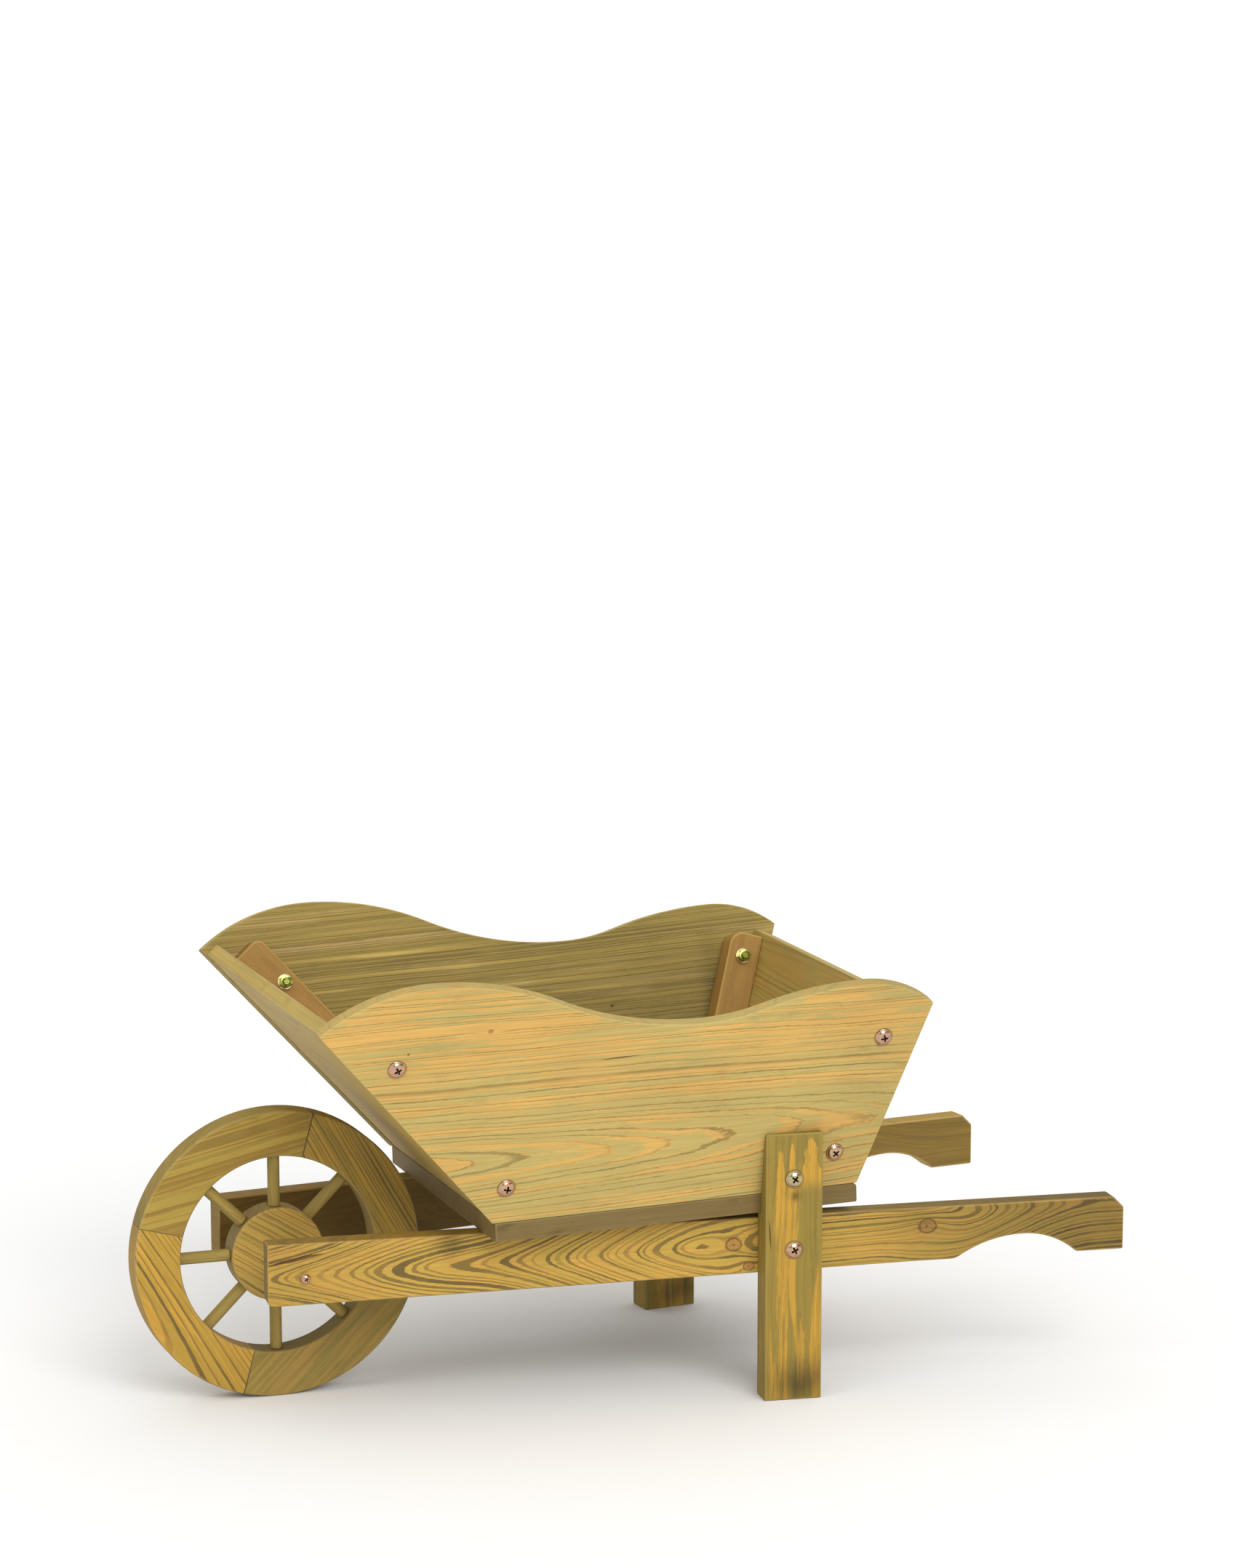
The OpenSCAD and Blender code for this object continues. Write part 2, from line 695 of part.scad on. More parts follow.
module tub_nuts() color("#b9ad83") both_sides() {
    at_front_bolts() nut(front_bolt_grip);
    at_rear_bolts() nut(rear_bolt_grip);
}

module leg_bolts() color("#c9b8b4") both_sides() {
    at_low_leg_bolt() bolt(low_leg_grip);
    at_high_leg_bolt() bolt(high_leg_grip);
}

module leg_washers() color("#b9ad83") both_sides() {
    at_low_leg_bolt() washer(low_leg_grip);
    at_high_leg_bolt() washer(high_leg_grip);
}

module leg_nuts() color("#b9ad83") both_sides() {
    at_low_leg_bolt() nut(low_leg_grip);
    at_high_leg_bolt() nut(high_leg_grip);
}

module floor_screws() color("#a9a07c") both_sides() at_floor_screws() difference() {
    screw(floor_screw_len);
    screw_recess();
}

module shaft_screws() color("#a9a07c") both_sides() at_shaft_screws() difference() {
    screw(shaft_screw_len);
    screw_recess();
}

module front_board_pins() color("#8b8378") both_sides() at_front_pins() pin();

module rear_board_pins() color("#8b8378") both_sides() at_rear_pins() pin();

// Cross-section of a turned ring with bevelled edges
module ring_section(in_r, out_r) polygon([
    [in_r + wheel_bevel, -wheel_t / 2], [out_r - wheel_bevel, -wheel_t / 2],
    [out_r, -wheel_t / 2 + wheel_bevel], [out_r, wheel_t / 2 - wheel_bevel],
    [out_r - wheel_bevel, wheel_t / 2], [in_r + wheel_bevel, wheel_t / 2],
    [in_r, wheel_t / 2 - wheel_bevel], [in_r, -wheel_t / 2 + wheel_bevel]]);

module spoke(i, grow = 0) rotate([0, 0, i * spoke_step]) rotate([0, 90, 0])
    translate([0, 0, hub_r - spoke_in_hub - grow])
        cylinder(h = rim_in_r + spoke_in_rim - hub_r + spoke_in_hub + 2 * grow, r = spoke_d / 2 + grow);

module felloe(i) {
    first_spoke = felloe_count / 2 + i * spoke_count / felloe_count;
    color("#b5803f") in_wheel() difference() {
        rotate([0, 0, rim_joint_angle + i * felloe_step])
            rotate_extrude(angle = felloe_step - felloe_gap_angle, $fn = 256)
                ring_section(rim_in_r, wheel_r);
        for (k = [0 : spoke_count / felloe_count - 1]) spoke(first_spoke + k, seat_gap);
    }
}

module felloe_1() felloe(0);

module felloe_2() felloe(1);

module felloe_3() felloe(2);

module felloe_4() felloe(3);

module wheel_spokes() color("#b98a4c") in_wheel()
    for (i = [0 : spoke_count - 1]) spoke(i);

module wheel_hub() {
    color("#a8763c") in_wheel() difference() {
        rotate_extrude($fn = 128) difference() {
            ring_section(-hub_r, hub_r);
            translate([-far, -far / 2]) square([far + axle_r + seat_gap, far]);
        }
        for (i = [0 : spoke_count - 1]) spoke(i, seat_gap);
    }
}

module axle_screw(grow = 0) {
    translate([0, 0, axle_head_y - axle_screw_len - grow])
        cylinder(h = axle_screw_len + grow, r = axle_screw_r + grow);
}

module axle_dowel() {
    color("#a27a46") in_wheel() difference() {
        cylinder(h = 2 * axle_half, r = axle_r, center = true);
        for (turn = [0, 180]) rotate([turn, 0, 0]) axle_screw(seat_gap);
    }
}

module axle_screws() {
    dome_r = (axle_head_r * axle_head_r + axle_head_h * axle_head_h) / (2 * axle_head_h);
    color("#c9b8b4") in_wheel() for (turn = [0, 180]) rotate([turn, 0, 0]) difference() {
        union() {
            axle_screw();
            intersection() {
                translate([0, 0, axle_head_y + axle_head_h - dome_r]) sphere(r = dome_r);
                translate([0, 0, axle_head_y]) cylinder(h = axle_head_h + cut, r = axle_head_r);
            }
        }
        for (slot = [0, 90]) rotate([0, 0, slot])
            translate([-axle_head_r / 2, -0.4, axle_head_y + axle_head_h / 2])
                cube([axle_head_r, 0.8, axle_head_h]);
    }
}

floor_board();
side_board_left();
side_board_right();
front_board();
rear_board();
batten_front_left();
batten_front_right();
batten_rear_left();
batten_rear_right();
shaft_left();
shaft_right();
leg_left();
leg_right();
tub_bolts();
tub_washers();
tub_nuts();
leg_bolts();
leg_washers();
leg_nuts();
floor_screws();
shaft_screws();
front_board_pins();
rear_board_pins();
wheel_hub();
wheel_spokes();
felloe_1();
felloe_2();
felloe_3();
felloe_4();
axle_dowel();
axle_screws();
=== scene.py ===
import json
import math
from dataclasses import dataclass

import bmesh
import bpy
from mathutils import Matrix, Vector


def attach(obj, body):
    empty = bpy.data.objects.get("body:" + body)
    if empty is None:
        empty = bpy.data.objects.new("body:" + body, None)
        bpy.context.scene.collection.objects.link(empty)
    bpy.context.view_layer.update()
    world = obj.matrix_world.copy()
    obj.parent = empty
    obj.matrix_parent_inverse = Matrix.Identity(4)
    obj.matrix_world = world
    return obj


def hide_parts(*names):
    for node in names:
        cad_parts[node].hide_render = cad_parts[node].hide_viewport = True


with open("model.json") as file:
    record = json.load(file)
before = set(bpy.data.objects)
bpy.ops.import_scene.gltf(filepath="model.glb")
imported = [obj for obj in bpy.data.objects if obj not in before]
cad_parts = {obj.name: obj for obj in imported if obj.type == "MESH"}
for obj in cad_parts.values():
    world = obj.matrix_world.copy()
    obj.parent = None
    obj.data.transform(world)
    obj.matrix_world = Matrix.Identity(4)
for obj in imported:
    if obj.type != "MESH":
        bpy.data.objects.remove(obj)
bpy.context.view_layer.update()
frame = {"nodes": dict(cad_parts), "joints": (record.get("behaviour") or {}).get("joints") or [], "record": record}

MM = 0.001
X_AXIS = Vector((1, 0, 0))
Y_AXIS = Vector((0, 1, 0))
Z_AXIS = Vector((0, 0, 1))
LEFT = -Y_AXIS
RIGHT = Y_AXIS

AXLE = Vector(frame["joints"][0]["pos_m"])
BODY_OF = {node: body for body, nodes in frame["record"]["behaviour"]["bodies"].items() for node in nodes}


# Sizes of the fasteners

BOLT_R = 3 * MM
HEAD_R = 7.25 * MM
HEAD_H = 3.6 * MM
AXLE_R = 2.25 * MM
AXLE_HEAD_R = 4.25 * MM
AXLE_HEAD_H = 2.6 * MM
RIM_SHARE = 0.2             # height of a head's rim, over the whole head's
RIM_ROWS = ((0.97, 1), (1, 0.7), (1, 0.25), (0.98, 0))     # radius over the head's, height over the rim's
CROWN_SHARE = 0.93          # radius of a head's dome, over the whole head's
DOME_POWER = 0.62           # 0.5 is an ellipse, and more makes the dome more pointed
RECESS_ARM = 3.7 * MM       # from the middle of the recess to the end of an arm, at its top
RECESS_HALF = 0.85 * MM     # half the width of an arm there
LOW_ARM = 1.4 * MM          # the same two at its bottom
LOW_HALF = 0.55 * MM
RECESS_DEPTH = 2.4 * MM
RECESS_POINT = 1.25         # depth of the point in its bottom, over RECESS_DEPTH
AXLE_RECESS = 0.62          # the axle screws' recess, over the bolts'
THREAD = 1 * MM             # from one turn of the thread to the next
THREADED = 8 * MM           # length of the thread
THREAD_ROOT = 0.88          # radius between two threads, over the shank's
TIP_SHARE = 0.85            # radius of the tip, over the shank's
WASHER_R = 6.5 * MM
WASHER_T = 1.2 * MM
WASHER_EASE = 0.15 * MM
NUT_FLAT = 5 * MM           # from the nut's middle to a flat
NUT_T = 5 * MM
NUT_FACE_R = NUT_FLAT * 0.95
NUT_CHAMFER = math.radians(30)
BORE_R = 3.15 * MM          # the hole in a washer or a nut
BORE_EASE = 0.5 * MM
NEXT_TURN = 1.1             # radians from one fastener's turn to the next


# Camera, at the photograph's place and angle

CAMERA_PLACE = (-1.2364, -3.5651, 1.0823)
CAMERA_TURN = 0.3405     # radians from +Y towards +X
CAMERA_DIP = 0.2042      # radians below the horizon
PICTURE_W = 1716
PICTURE_H = 2156
LENS_PIXELS = 6364.4     # focal length
LENS_MIDDLE = (868.6, 1390.5)     # pixels from the picture's upper left corner
SENSOR_MM = 36


def make_camera():
    data = bpy.data.cameras.new("camera")
    data.sensor_fit = "HORIZONTAL"
    data.sensor_width = SENSOR_MM
    data.lens = LENS_PIXELS / PICTURE_W * SENSOR_MM
    data.shift_x = (PICTURE_W / 2 - LENS_MIDDLE[0]) / PICTURE_W
    data.shift_y = (LENS_MIDDLE[1] - PICTURE_H / 2) / PICTURE_W
    data.clip_start = 0.05
    data.clip_end = 100
    camera = bpy.data.objects.new("camera", data)
    camera.location = CAMERA_PLACE
    camera.rotation_euler = (math.pi / 2 - CAMERA_DIP, 0, -CAMERA_TURN)
    bpy.context.scene.collection.objects.link(camera)
    bpy.context.scene.camera = camera


make_camera()


# Materials

# Colours, as red, green and blue in two hexadecimal digits each
KNOT_PALE = "b98a48"
KNOT_DARK = "8f6632"
KNOT_HEART = "8a5a38"
KNOT_RIM = "5e4222"
CRACK = "5a2f1a"
# Painted shadow in the seam where a sawn end meets another board
SEAM_SHADOW = "2c2214"
TARNISH = "5c4a40"

UNEVEN = 0.36          # how far fibres, threads and clouds each vary the brightness
PLAIN_SIDES = -0.6     # change of the pattern's strength on the narrow sides and the inner face


def srgb(code):
    """A colour such as 'c9a45e' as linear red, green, blue and alpha."""
    parts = [int(code[i:i + 2], 16) / 255 for i in (0, 2, 4)]
    linear = [c / 12.92 if c <= 0.04045 else ((c + 0.055) / 1.055) ** 2.4 for c in parts]
    return (*linear, 1)


class Graph:
    """The nodes of one material. A value may be a number, a colour or another node's output."""

    def __init__(self, name):
        self.material = bpy.data.materials.new(name)
        self.material.use_nodes = True
        self.tree = self.material.node_tree
        self.tree.nodes.clear()
        self.shader = self.add("ShaderNodeBsdfPrincipled")
        output = self.add("ShaderNodeOutputMaterial")
        self.tree.links.new(self.shader.outputs["BSDF"], output.inputs["Surface"])

    def add(self, kind, **settings):
        node = self.tree.nodes.new(kind)
        for name, value in settings.items():
            setattr(node, name, value)
        return node

    def put(self, value, socket):
        """Links an output to the socket, or sets the socket's own value."""
        if isinstance(value, bpy.types.NodeSocket):
            self.tree.links.new(value, socket)
        else:
            socket.default_value = value

    def math(self, operation, *values, clamp=False):
        node = self.add("ShaderNodeMath", operation=operation, use_clamp=clamp)
        for value, socket in zip(values, node.inputs):
            self.put(value, socket)
        return node.outputs[0]

    def vector(self, operation, *values):
        node = self.add("ShaderNodeVectorMath", operation=operation)
        for value, socket in zip(values, node.inputs):
            self.put(value, socket)
        return node.outputs["Value" if operation == "LENGTH" else "Vector"]

    def split(self, vector):
        node = self.add("ShaderNodeSeparateXYZ")
        self.put(vector, node.inputs[0])
        return node.outputs[0], node.outputs[1], node.outputs[2]

    def join(self, x, y, z):
        node = self.add("ShaderNodeCombineXYZ")
        for value, socket in zip((x, y, z), node.inputs):
            self.put(value, socket)
        return node.outputs[0]

    def attribute(self, name, output="Vector"):
        return self.add("ShaderNodeAttribute", attribute_name=name).outputs[output]

    def noise(self, where, scale, detail=2.0, roughness=0.5, distortion=0.0):
        """Noise from 0 to 1 whose grain is scale = (along, across, through), per metre."""
        node = self.add("ShaderNodeTexNoise")
        self.put(self.vector("MULTIPLY", where, scale), node.inputs["Vector"])
        node.inputs["Scale"].default_value = 1
        node.inputs["Detail"].default_value = detail
        node.inputs["Roughness"].default_value = roughness
        node.inputs["Distortion"].default_value = distortion
        return node.outputs[0]

    def swing(self, where, scale, detail=2.0, roughness=0.5):
        """The same noise from -0.5 to 0.5."""
        return self.math("SUBTRACT", self.noise(where, scale, detail, roughness), 0.5)

    def wander(self, value):
        """Smooth noise from -0.5 to 0.5 along one number."""
        node = self.add("ShaderNodeTexNoise", noise_dimensions="1D")
        self.put(value, node.inputs["W"])
        node.inputs["Scale"].default_value = 1
        node.inputs["Detail"].default_value = 1
        return self.math("SUBTRACT", node.outputs[0], 0.5)

    def random(self, value):
        """A number from 0 to 1 that changes wherever the value does."""
        node = self.add("ShaderNodeTexWhiteNoise", noise_dimensions="1D")
        self.put(value, node.inputs["W"])
        return node.outputs["Value"]

    def step(self, value, low, high):
        """0 at low and 1 at high, smooth between them and level beyond them."""
        node = self.add("ShaderNodeMapRange", interpolation_type="SMOOTHSTEP")
        self.put(value, node.inputs["Value"])
        self.put(low, node.inputs["From Min"])
        self.put(high, node.inputs["From Max"])
        return node.outputs["Result"]

    def mix(self, first, second, share):
        """The first colour, with this share of the second."""
        node = self.add("ShaderNodeMix", data_type="RGBA")
        self.put(share, node.inputs["Factor"])
        # The node has sockets for every kind of value, and these are the ones for colours
        self.put(first, node.inputs[6])
        self.put(second, node.inputs[7])
        return node.outputs[2]

    def squares(self, x, y):
        return self.math("ADD", self.math("MULTIPLY", x, x), self.math("MULTIPLY", y, y))

    def vary(self, value, mask, change):
        """The value, with this share of itself added where the mask is 1."""
        return self.math("MULTIPLY", value, self.math("MULTIPLY_ADD", mask, change, 1.0))

    def bump(self, height, distance):
        node = self.add("ShaderNodeBump")
        node.inputs["Strength"].default_value = 1
        node.inputs["Distance"].default_value = distance
        self.put(height, node.inputs["Height"])
        self.tree.links.new(node.outputs["Normal"], self.shader.inputs["Normal"])


@dataclass
class Wood:
    """How a board was sawn from its tree and how it took its treatment.

    Lengths are metres on the board's own axes."""
    early: str               # colour of the wide, pale part of a ring
    late: str                # colour of the narrow, dark part
    warm: str                # colour of the flames that the treatment left bare
    pith: tuple = (0.05, 0.04)   # the tree's middle: up the board, and behind its face
    slope: tuple = (0.0, 0.06)   # how the tree's middle drifts along the board
    ring: float = 4 * MM     # thickness of a ring
    late_share: float = 0.22     # share of a ring that is dark, at the least
    tip: float = 1.0         # width of the dark part where a ring turns round, over its width elsewhere
    contrast: float = 0.7    # strength of the dark parts
    warmth: float = 0.5      # share of the board that is warm
    banding: float = 0.35    # how far single rings are warm or not
    lean: float = 0.25       # how far each ring turns warm towards its outer side
    patch: float = 0.07      # length of a warm flame
    slender: float = 4.5     # a flame's length over its width
    patches: tuple = ()      # (along, across, length, width, more or less warmth)
    flames: tuple = ()       # (along, along, across, width): a pointed flame from its tip to its foot
    wobble: float = 2 * MM   # how far the rings wander
    bunching: float = 2.4    # how unevenly the rings are spaced
    broken: float = 0.5      # how far the dark lines fade away in places
    grime: float = 0.16      # darkness of its smudges
    relief: float = 0.25 * MM    # depth of the grain
    knots: tuple = ()        # (along, across, radius, spread) of each knot
    lifts: tuple = ()        # (along, along, height): the rings spread by height between the two places
    sways: tuple = ()        # (along, along, shift): the tree's middle moves up the board between them
    stains: tuple = ()       # (along, across, length, width, darkness)
    cracks: tuple = ()       # (along, across, along, across, width) of its two ends
    fade: tuple = ()         # (along, along, brightness beyond the second)
    arris: str = ""          # colour along the rounded edges: worn wood, with a painted highlight
    seam: float = 0.0        # darkness of the painted shadow on the arrises at the sawn ends, where they meet another board
    end: float = 0.75        # brightness of the sawn ends
    edge: float = 1.0        # brightness of the narrow sides: painted shade below 1, painted light above 1
    inner: float = 1.0       # brightness of the face that looks inwards, a painted shade for the shade it lies in
    seed: float = 0.0        # sets this board's noise apart from the others'


class WoodGraph(Graph):
    """The nodes of a board's material, with each point's place on the board's own axes."""

    def __init__(self, name, seed):
        super().__init__(name)
        grain = self.attribute("grain")
        self.where = self.vector("ADD", grain, (seed, seed * 0.37, seed * 0.71))
        self.along, self.across, self.through = self.split(grain)
        facing_along, _, facing_out = self.split(self.attribute("face_out"))
        # 1 on the sides between the two faces, and 1 on the face that looks inwards
        self.narrow = self.step(self.math("ABSOLUTE", facing_out), 0.75, 0.4)
        self.inside = self.step(facing_out, -0.4, -0.8)
        self.endwise = self.math("ABSOLUTE", facing_along)

    def hill(self, centre, length, width):
        """1 at the centre, falling away over length and width."""
        x = self.math("DIVIDE", self.math("SUBTRACT", self.along, centre[0]), length)
        y = self.math("DIVIDE", self.math("SUBTRACT", self.across, centre[1]), width)
        return self.math("EXPONENT", self.math("MULTIPLY", self.squares(x, y), -1.0))


def ring_field(g, look):
    """Distance from the tree's middle in rings, and how far the rings have turned across the board.

    The rings wander, and swell round knots."""
    slow = g.swing(g.where, (4, 16, 16), 1.0)
    quick = g.swing(g.where, (26, 110, 110))
    ragged = g.swing(g.where, (150, 700, 700), 2.0, 0.6)
    up = g.math("SUBTRACT", g.across, g.math("MULTIPLY_ADD", g.along, look.slope[0], look.pith[0]))
    for start, stop, shift in look.sways:
        up = g.math("MULTIPLY_ADD", g.step(g.along, start, stop), -shift, up)
    deep = g.math("ADD", g.through, g.math("MULTIPLY_ADD", g.along, look.slope[1], look.pith[1]))
    radius = g.math("SQRT", g.squares(up, deep))
    turning = g.math("DIVIDE", g.math("ABSOLUTE", up), radius)
    for shake, share in ((slow, 4), (quick, 0.8), (ragged, 0.5)):
        radius = g.math("MULTIPLY_ADD", shake, look.wobble * share, radius)
    for start, stop, height in look.lifts:
        radius = g.math("MULTIPLY_ADD", g.step(g.along, start, stop), height, radius)
    for *centre, _, spread in look.knots:
        swell = g.hill(centre, spread * 1.8, spread)
        radius = g.math("MULTIPLY_ADD", swell, spread * 0.6, radius)
    rings = g.math("DIVIDE", radius, look.ring)
    return g.math("MULTIPLY_ADD", g.wander(g.math("MULTIPLY", rings, 0.45)), look.bunching, rings), turning


def dark_rings(g, look, rings, turning):
    """Strength of the dark part of each ring, which darkens slowly and ends sharply."""
    place = g.math("FRACT", rings)
    own = g.random(g.math("FLOOR", rings))
    share = g.math("MULTIPLY_ADD", own, look.late_share * 0.8, look.late_share)
    share = g.math("MULTIPLY", share, g.math("MULTIPLY_ADD", turning, 1 - look.tip, look.tip))
    start = g.math("SUBTRACT", 1.0, share)
    rise = g.step(place, g.math("SUBTRACT", start, 0.12), start)
    late = g.math("MULTIPLY", rise, g.step(place, 1.0, 0.95))
    strength = g.math("MULTIPLY_ADD", own, 0.6, 0.4)
    patchy = g.step(g.noise(g.where, (18, 50, 50)), 0.8 * look.broken - 0.2, 0.6)
    strength = g.math("MULTIPLY", strength, g.math("MULTIPLY_ADD", patchy, look.broken, 1 - look.broken))
    # Where the inner face gets its painted shade, its rings are weaker too, as in shade
    if look.inner != 1.0:
        strength = g.vary(strength, g.inside, PLAIN_SIDES)
    return g.math("MULTIPLY", late, g.math("MULTIPLY", strength, look.contrast))


def flame_mask(g, flame):
    """1 inside a flame that widens from its tip and fades out past its foot."""
    tip, foot, middle, width = flame
    share = g.math("DIVIDE", g.math("SUBTRACT", tip, g.along), tip - foot)
    half = g.math("MULTIPLY", g.math("SQRT", g.math("MAXIMUM", share, 0.0)), width / 2)
    ragged = g.swing(g.where, (120, 350, 350), 3.0, 0.6)
    off = g.math("ABSOLUTE", g.math("SUBTRACT", g.across, middle))
    off = g.math("MULTIPLY_ADD", ragged, width * 0.5, g.math("SUBTRACT", off, half))
    inside = g.math("MULTIPLY", g.step(off, 0.3 * MM, -0.3 * MM), g.step(share, 0.0, 0.1))
    return g.math("MULTIPLY", inside, g.step(share, 1.4, 0.9))


def warm_flames(g, look, rings):
    """1 where the wood is warm, in flames that follow the rings."""
    thin = look.slender / look.patch
    blotch = g.noise(g.where, (1 / look.patch, thin, thin), 4.0, 0.6, 0.5)
    own = g.random(g.math("ADD", g.math("FLOOR", rings), 0.37))
    level = g.math("MULTIPLY_ADD", g.math("SUBTRACT", own, 0.5), look.banding, blotch)
    place = g.math("SUBTRACT", g.math("FRACT", rings), 0.5)
    level = g.math("MULTIPLY_ADD", place, look.lean, level)
    for *centre, length, width, more in look.patches:
        level = g.math("MULTIPLY_ADD", g.hill(centre, length, width), more, level)
    edge = 0.7 - 0.4 * look.warmth
    warm = g.math("MULTIPLY_ADD", g.step(level, edge - 0.01, edge + 0.03), 0.6,
                  g.math("MULTIPLY", g.step(level, edge - 0.15, edge + 0.2), 0.4))
    for flame in look.flames:
        warm = g.math("MAXIMUM", warm, flame_mask(g, flame))
    return warm


def crack_mask(g, crack):
    """1 inside a crack that is widest in its middle and closes at both ends."""
    start, low, stop, high, width = crack
    share = g.math("DIVIDE", g.math("SUBTRACT", g.along, start), stop - start)
    line = g.math("MULTIPLY_ADD", share, high - low, low)
    ragged = g.swing(g.where, (90, 300, 300))
    off = g.math("MULTIPLY_ADD", ragged, width * 1.2, g.math("SUBTRACT", g.across, line))
    open_here = g.math("MULTIPLY", g.math("MULTIPLY", share, g.math("SUBTRACT", 1.0, share)), width * 4)
    return g.step(g.math("SUBTRACT", g.math("ABSOLUTE", off), open_here), 0.3 * MM, -0.3 * MM)


def add_knot(g, knot, colour, height):
    """A branch's end, with its own rings and a dark rim."""
    along_at, across_at, size, _ = knot
    x = g.math("DIVIDE", g.math("SUBTRACT", g.along, along_at), size * 1.25)
    y = g.math("DIVIDE", g.math("SUBTRACT", g.across, across_at), size)
    ragged = g.swing(g.where, (220, 220, 220))
    off = g.math("MULTIPLY_ADD", ragged, 0.6, g.math("SQRT", g.squares(x, y)))
    own_rings = g.math("PINGPONG", g.math("MULTIPLY", off, 2.6), 0.5)
    heart = g.mix(srgb(KNOT_PALE), srgb(KNOT_DARK), g.math("MULTIPLY", own_rings, 1.6, clamp=True))
    heart = g.mix(heart, srgb(KNOT_HEART), g.step(off, 0.4, 0.1))
    colour = g.mix(colour, heart, g.math("MULTIPLY", g.step(off, 1.1, 0.8), 0.85))
    rim = g.math("MULTIPLY", g.step(off, 0.8, 1.0), g.step(off, 1.3, 1.05))
    colour = g.mix(colour, srgb(KNOT_RIM), g.math("MULTIPLY", rim, 0.7))
    return colour, g.math("MULTIPLY_ADD", g.step(off, 0.7, 0.2), -0.5, height)


def shading(g, look, fibre, cloud, heads):
    """Brightness: fibres and clouds, then stains, smudges and a painted shadow round the bolt heads, then dark
    joints, sawn ends, and the painted shade and light of the narrow sides and the inner face.
    """
    thread = g.noise(g.where, (9, 420, 420), 2.0, 0.55)
    smudge = g.noise(g.where, (30, 60, 60), 4.0, 0.65)
    shade = g.math("MULTIPLY_ADD", fibre, UNEVEN, 1 - UNEVEN / 2)
    for layer in (thread, cloud):
        shade = g.math("MULTIPLY", shade, g.math("MULTIPLY_ADD", layer, UNEVEN, 1 - UNEVEN / 2))
    shade = g.vary(shade, g.step(smudge, 0.55, 0.8), -look.grime)
    for *centre, length, width, darkness in look.stains:
        spot = g.hill(centre, length, width)
        spot = g.math("MULTIPLY", spot, g.math("MULTIPLY_ADD", smudge, 0.9, 0.55))
        shade = g.vary(shade, spot, -darkness)
    # Painted shadow: a dark ring on the wood round each bolt head
    for head in heads:
        off = g.vector("LENGTH", g.vector("SUBTRACT", g.join(g.along, g.across, 0.0), (*head, 0.0)))
        rim = g.math("MULTIPLY", g.step(off, HEAD_R + 1.1 * MM, HEAD_R + 0.3 * MM), smudge)
        shade = g.vary(shade, rim, -1.0)
    if look.fade:
        low, high, beyond = look.fade
        shade = g.vary(shade, g.step(g.along, low, high), beyond - 1)
    # Painted shade and light: the narrow sides get the brightness that the light gave them
    shade = g.vary(shade, g.narrow, look.edge - 1)
    shade = g.vary(shade, g.step(g.attribute("joint", "Fac"), 0.2, 0.4), -0.65)
    shade = g.vary(shade, g.step(g.endwise, 0.6, 0.9), look.end - 1)
    # Painted shade: the face that looks inwards, which lies in shade, is darkened
    if look.inner != 1.0:
        shade = g.vary(shade, g.inside, look.inner - 1)
    return shade


def worn_edges_sheen_and_seam_shadow(g, look, cloud, colour):
    """Paler worn wood along the arrises, which also paints their highlight, and a painted shadow where a sawn end
    meets another board.
    """
    arris = g.attribute("arris", "Fac")
    # Pale worn wood on the rounded edges, which also paints the highlight that they catch
    if look.arris:
        worn_and_sheen = g.math("MULTIPLY", arris, g.step(cloud, 0.25, 0.6))
        colour = g.mix(colour, srgb(look.arris), g.math("MULTIPLY", worn_and_sheen, 0.6))
    # Painted shadow: the arrises at the sawn ends darken where they meet another board
    if look.seam:
        shadowed = g.math("MULTIPLY", arris, g.step(g.endwise, 0.2, 0.4))
        colour = g.mix(colour, srgb(SEAM_SHADOW), g.math("MULTIPLY", shadowed, look.seam))
    return colour


def wood(name, look, heads=()):
    """The material of a board, with a painted shadow round the bolt heads at these places along and across it."""
    g = WoodGraph(name, look.seed)
    rings, turning = ring_field(g, look)
    late = g.vary(dark_rings(g, look, rings, turning), g.narrow, PLAIN_SIDES)
    warm = g.vary(warm_flames(g, look, rings), g.narrow, PLAIN_SIDES)
    fibre = g.noise(g.where, (25, 1100, 1100), 3.0, 0.6)
    cloud = g.noise(g.where, (7, 14, 14), 3.0, 0.55)
    colour = g.mix(srgb(look.early), srgb(look.warm), warm)
    colour = g.mix(colour, srgb(look.late), late)
    # Dark rings stand proud of the pale wood, and cracks and knots' hearts lie deeper
    height = g.math("MULTIPLY_ADD", late, 0.8, g.math("MULTIPLY", fibre, 0.4))
    for knot in look.knots:
        colour, height = add_knot(g, knot, colour, height)
    for crack in look.cracks:
        gap = crack_mask(g, crack)
        colour = g.mix(colour, srgb(CRACK), g.math("MULTIPLY", gap, 0.85))
        height = g.math("MULTIPLY_ADD", gap, -1.5, height)
    shade = shading(g, look, fibre, cloud, heads)
    colour = g.vector("MULTIPLY", colour, g.join(shade, shade, shade))
    g.put(worn_edges_sheen_and_seam_shadow(g, look, cloud, colour), g.shader.inputs["Base Color"])
    rough = g.math("MULTIPLY_ADD", fibre, 0.18, 0.55)
    g.put(g.math("MULTIPLY_ADD", late, -0.08, rough), g.shader.inputs["Roughness"])
    g.shader.inputs["Specular IOR Level"].default_value = 0.3
    g.bump(height, look.relief)
    return g.material


